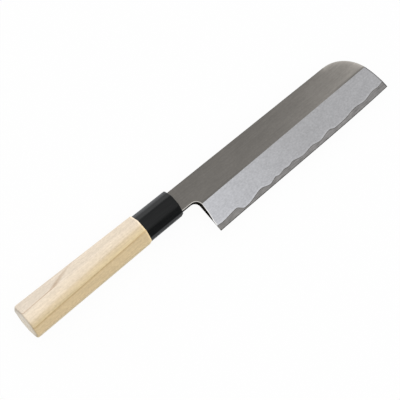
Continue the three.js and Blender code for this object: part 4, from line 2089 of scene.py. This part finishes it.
@dataclass
class Handle:
    """The eight-sided handle: a wooden grip, a black ferrule on its tenon, and wax round the tang."""

    bench: Bench
    blade: Blade
    grip_length: float = 105.5
    butt: EightSides = EightSides(26.1, 23.0, 10.8, 9.5)
    front: EightSides = EightSides(23.4, 20.7, 9.7, 8.6)
    butt_dome: float = 0.9
    butt_clearance: float = 0.01
    butt_round: float = 2.0
    front_round: float = 0.6
    ridge_round: float = 1.6
    ferrule_length: float = 31.1
    ferrule_step: float = 0.65
    ferrule_taper: float = 0.2
    ferrule_round: float = 0.9
    ferrule_ridge_round: float = 3.6
    ferrule_wall: float = 1.8
    socket_depth: float = 22.0
    seam_gap: float = 0.1
    fit_gap: float = 0.3
    seal_wall: float = 1.5

    MERGE_GAP = 1e-6
    SHARP_ANGLE = math.radians(40)

    def __post_init__(self) -> None:
        """Works out the ferrule's sections and where the pieces end."""
        self.ferrule_rear = self.front.inset(self.ferrule_step)
        self.ferrule_front = self.ferrule_rear.inset(self.ferrule_taper)
        self.socket_radius = self.ferrule_front.width / 2 - self.ferrule_wall
        self.socket_end = self.socket_depth - self.ferrule_length
        self.grip_front = -(self.ferrule_length + self.seam_gap)
        self.grip_rear = self.grip_front - self.grip_length + self.butt_clearance

    def grow(self, name: str, rule: PieceRule, inputs: dict[str, RuleInput]) -> bpy.types.Object:
        """Runs a rule once and keeps the result as a plain mesh.

        Args:
            name: The piece's name.
            rule: Its rule.
            inputs: A value for each of the rule's named inputs.

        Returns:
            The piece, with no modifier left.
        """
        host = put_in_scene(f"{name}_rule", bpy.data.meshes.new(f"{name}_rule"))
        modifier = host.modifiers.new("rule", "NODES")
        modifier.node_group = rule.tree
        for item in rule.tree.interface.items_tree:
            if item.in_out == "INPUT":
                modifier[item.identifier] = inputs[item.name]
        evaluated = host.evaluated_get(bpy.context.evaluated_depsgraph_get())
        mesh = bpy.data.meshes.new_from_object(evaluated)
        bpy.data.objects.remove(host)
        mesh.name = name
        with rework(mesh) as work:
            bmesh.ops.remove_doubles(work, verts=work.verts, dist=self.MERGE_GAP)
            bmesh.ops.recalc_face_normals(work, faces=work.faces)
        mesh.set_sharp_from_angle(angle=self.SHARP_ANGLE)
        return put_in_scene(name, mesh)

    def grip_inputs(self) -> dict[str, RuleInput]:
        """Works out the wooden grip.

        Returns:
            Its sizes and its finish, by the names of the rule's inputs.
        """
        wood = PaleWood(
            "pale_wood", roughness=0.5, lean=44.8, slope=-0.0384, bend=0.0035, fan=0.00196, middle=-85.0,
            axis_height=self.bench.axis_height, butt_x=self.grip_rear, front_x=self.grip_front,
        )
        blade, play = self.blade, 2 * self.fit_gap
        return {
            "Rear X": self.grip_rear, "Length": self.grip_front - self.grip_rear, **self.butt.sizes(),
            "Front Height": self.front.height, "Front Width": self.front.width,
            "Ridge Round": self.ridge_round, "Dome": self.butt_dome,
            "Rear Round": self.butt_round, "Front Round": self.front_round,
            "Tenon Radius": self.socket_radius - self.fit_gap,
            "Tenon End": self.socket_end - self.fit_gap,
            "Mortise Depth": blade.tang_length + self.fit_gap,
            "Root Height": blade.tang_root_height + play,
            "End Height": blade.tang_end_height + play,
            "Root Width": blade.tang_root_width + play,
            "End Width": blade.tang_end_thickness + play,
            "Finish": wood.make(self.bench),
        }

    def ferrule_inputs(self) -> dict[str, RuleInput]:
        """Works out the black ferrule.

        Returns:
            Its sizes and its finish, by the names of the rule's inputs.
        """
        # Its pale colour on the top and the bottom is painted reflection.
        horn = BlackHorn(
            "black_horn", roughness=0.3, colour=(9, 11, 12),
            streak_colour=(19, 20, 20), painted_sheen_colour=(95, 96, 98),
        )
        high, wide = self.blade.tang_root_height, self.blade.tang_root_width
        slot = EightSides(high + 2 * self.seal_wall, wide + 2 * self.seal_wall, high, wide)
        front = self.ferrule_front
        return {
            "Rear X": -self.ferrule_length, "Length": self.ferrule_length, **self.ferrule_rear.sizes(),
            "Front Height": front.height, "Front Width": front.width,
            "Ridge Round": self.ferrule_ridge_round, "Dome": 0.0,
            "Rear Round": 0.0, "Front Round": self.ferrule_round,
            "Socket Radius": self.socket_radius, "Socket End": self.socket_end,
            **slot.sizes("Slot "), "Finish": horn.make(self.bench),
        }

    def dress_seal(self) -> None:
        """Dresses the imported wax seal."""
        wax = AmberWax("amber_wax", roughness=0.55, colour=(186, 140, 70), spot_colour=(120, 84, 44))
        material = wax.make(self.bench)
        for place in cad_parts["tang_seal"].material_slots:
            place.material = material
        log.info("tang_seal: the packed solid with a wax finish")

    def build(self) -> None:
        """Builds and dresses the grip and the ferrule, and dresses the wax seal."""
        bar = BarRule()
        grip = self.grow("grip", GripRule(bar, self.bench), self.grip_inputs())
        hand_over(grip, "wood_grip")
        ferrule = self.grow("ferrule", FerruleRule(bar, self.bench), self.ferrule_inputs())
        hand_over(ferrule, "black_ferrule")
        self.dress_seal()


@dataclass
class Studio:
    """A white table under soft light, and a camera over the handle's side of the knife.

    The camera's distance, aim and lens are in millimetres, its leans and turn are in degrees, and the other
    lengths are in metres. A span is where the window or the dark side begins and is full, first towards the
    spine or the edge and then down from the zenith.
    """

    bench: Bench
    distance: float = 784.97
    lean_to_butt: float = 19.097
    lean_to_edge: float = 7.366
    turn: float = -39.236645
    lens: float = 97.114
    sensor: float = 36.0
    clip: Span = (0.01, 50.0)
    aim: tuple[float, float, float] = (17.731, -10.113, 0.0)
    table_size: float = 9.0
    table_gap: float = 0.0003
    table_grey: float = 0.86
    glow_share: float = 0.95
    room_strength: float = 0.97
    window_gain: float = 0.9
    window_span: tuple[Span, Span] = ((0.72, 0.94), (0.5, 0.2))
    dark_gain: float = -0.75
    dark_span: tuple[Span, Span] = ((-0.55, -0.88), (0.62, 0.36))
    lamp_size: float = 1.4
    lamp_energy: float = 2.0
    lamp_place: tuple[float, float, float] = (-0.1, -0.1, 1.4)

    def camera(self) -> None:
        """Adds the camera."""
        lean = [math.tan(math.radians(angle)) for angle in (self.lean_to_butt, self.lean_to_edge)]
        away = Vector((*lean, -1)).normalized()
        length = (Vector((1, 0, 0)) - away.x * away).normalized()
        height = (-away).cross(length)
        turn = math.radians(self.turn)
        right = math.cos(turn) * length + math.sin(turn) * height
        up = (-away).cross(right)
        place = self.bench.origin + Vector(self.aim) * MM - away * self.distance * MM
        data = bpy.data.cameras.new("camera")
        data.lens = self.lens
        data.sensor_width = self.sensor
        data.sensor_fit = "HORIZONTAL"
        data.clip_start, data.clip_end = self.clip
        camera = put_in_scene("camera", data)
        turned = Matrix((right, up, -away)).transposed().to_4x4()
        camera.matrix_world = Matrix.Translation(place) @ turned
        bpy.context.scene.camera = camera

    def table(self) -> None:
        """Adds the white table top, which shows its own white to the eye and keeps the knife's shadow."""
        half = self.table_size / 2
        corners = [(-half, -half), (half, -half), (half, half), (-half, half)]
        mesh = bpy.data.meshes.new("table_top")
        mesh.from_pydata([(x, y, -self.table_gap) for x, y in corners], [], [(0, 1, 2, 3)])
        material = bpy.data.materials.new("white_table")
        material.use_nodes = True
        graph = NodeGraph(material.node_tree)
        graph.tree.nodes.clear()
        grey = (self.table_grey, self.table_grey, self.table_grey, 1.0)
        plain = graph.add("ShaderNodeBsdfDiffuse", {"Color": grey})
        glow = graph.add("ShaderNodeEmission", {"Color": WHITE})
        path = graph.add("ShaderNodeLightPath")
        seen = graph.total(*(path.outputs[f"Is {kind} Ray"] for kind in ("Camera", "Glossy", "Transmission")))
        share = graph.times(graph.math("MINIMUM", seen, 1.0), self.glow_share)
        mix = graph.add("ShaderNodeMixShader", {0: share, 1: plain.outputs[0], 2: glow.outputs[0]})
        graph.add("ShaderNodeOutputMaterial", {"Surface": mix.outputs[0]})
        mesh.materials.append(material)
        put_in_scene("table_top", mesh)

    def room(self) -> None:
        """Adds the pale room, which is brighter behind the spine and darker before the edge."""
        world = bpy.data.worlds.new("pale_room")
        world.use_nodes = True
        bpy.context.scene.world = world
        graph = NodeGraph(world.node_tree)
        graph.tree.nodes.clear()
        _, y, z = graph.split(graph.add("ShaderNodeTexCoord").outputs["Generated"])
        strength = self.room_strength
        for gain, (side, height) in (
            (self.dark_gain, self.dark_span), (self.window_gain, self.window_span),
        ):
            share = graph.times(graph.progress(y, *side), graph.progress(z, *height))
            strength = graph.scaled(share, gain, strength)
        background = graph.add("ShaderNodeBackground", {"Color": WHITE, "Strength": strength})
        graph.add("ShaderNodeOutputWorld", {"Surface": background.outputs[0]})

    def lamp(self) -> None:
        """Adds one large soft lamp over the knife."""
        data = bpy.data.lights.new("soft_lamp", "AREA")
        data.shape = "DISK"
        data.size = self.lamp_size
        data.energy = self.lamp_energy
        lamp = put_in_scene("soft_lamp", data)
        lamp.location = self.lamp_place
        lamp.rotation_euler = (-lamp.location).to_track_quat("-Z", "Y").to_euler()

    def build(self) -> None:
        """Builds the camera, the table and the light."""
        self.camera()
        self.table()
        self.room()
        self.lamp()
        bpy.context.scene.view_settings.view_transform = "Standard"


def main() -> None:
    """Builds the knife and the studio."""
    logging.basicConfig(level=logging.INFO, format="%(name)s: %(message)s")
    bench = Bench.under_ferrule(Blade.heel_thickness)
    Studio(bench).build()
    blade = Blade(bench)
    blade.build()
    Handle(bench, blade).build()


if __name__ == "__main__":
    main()
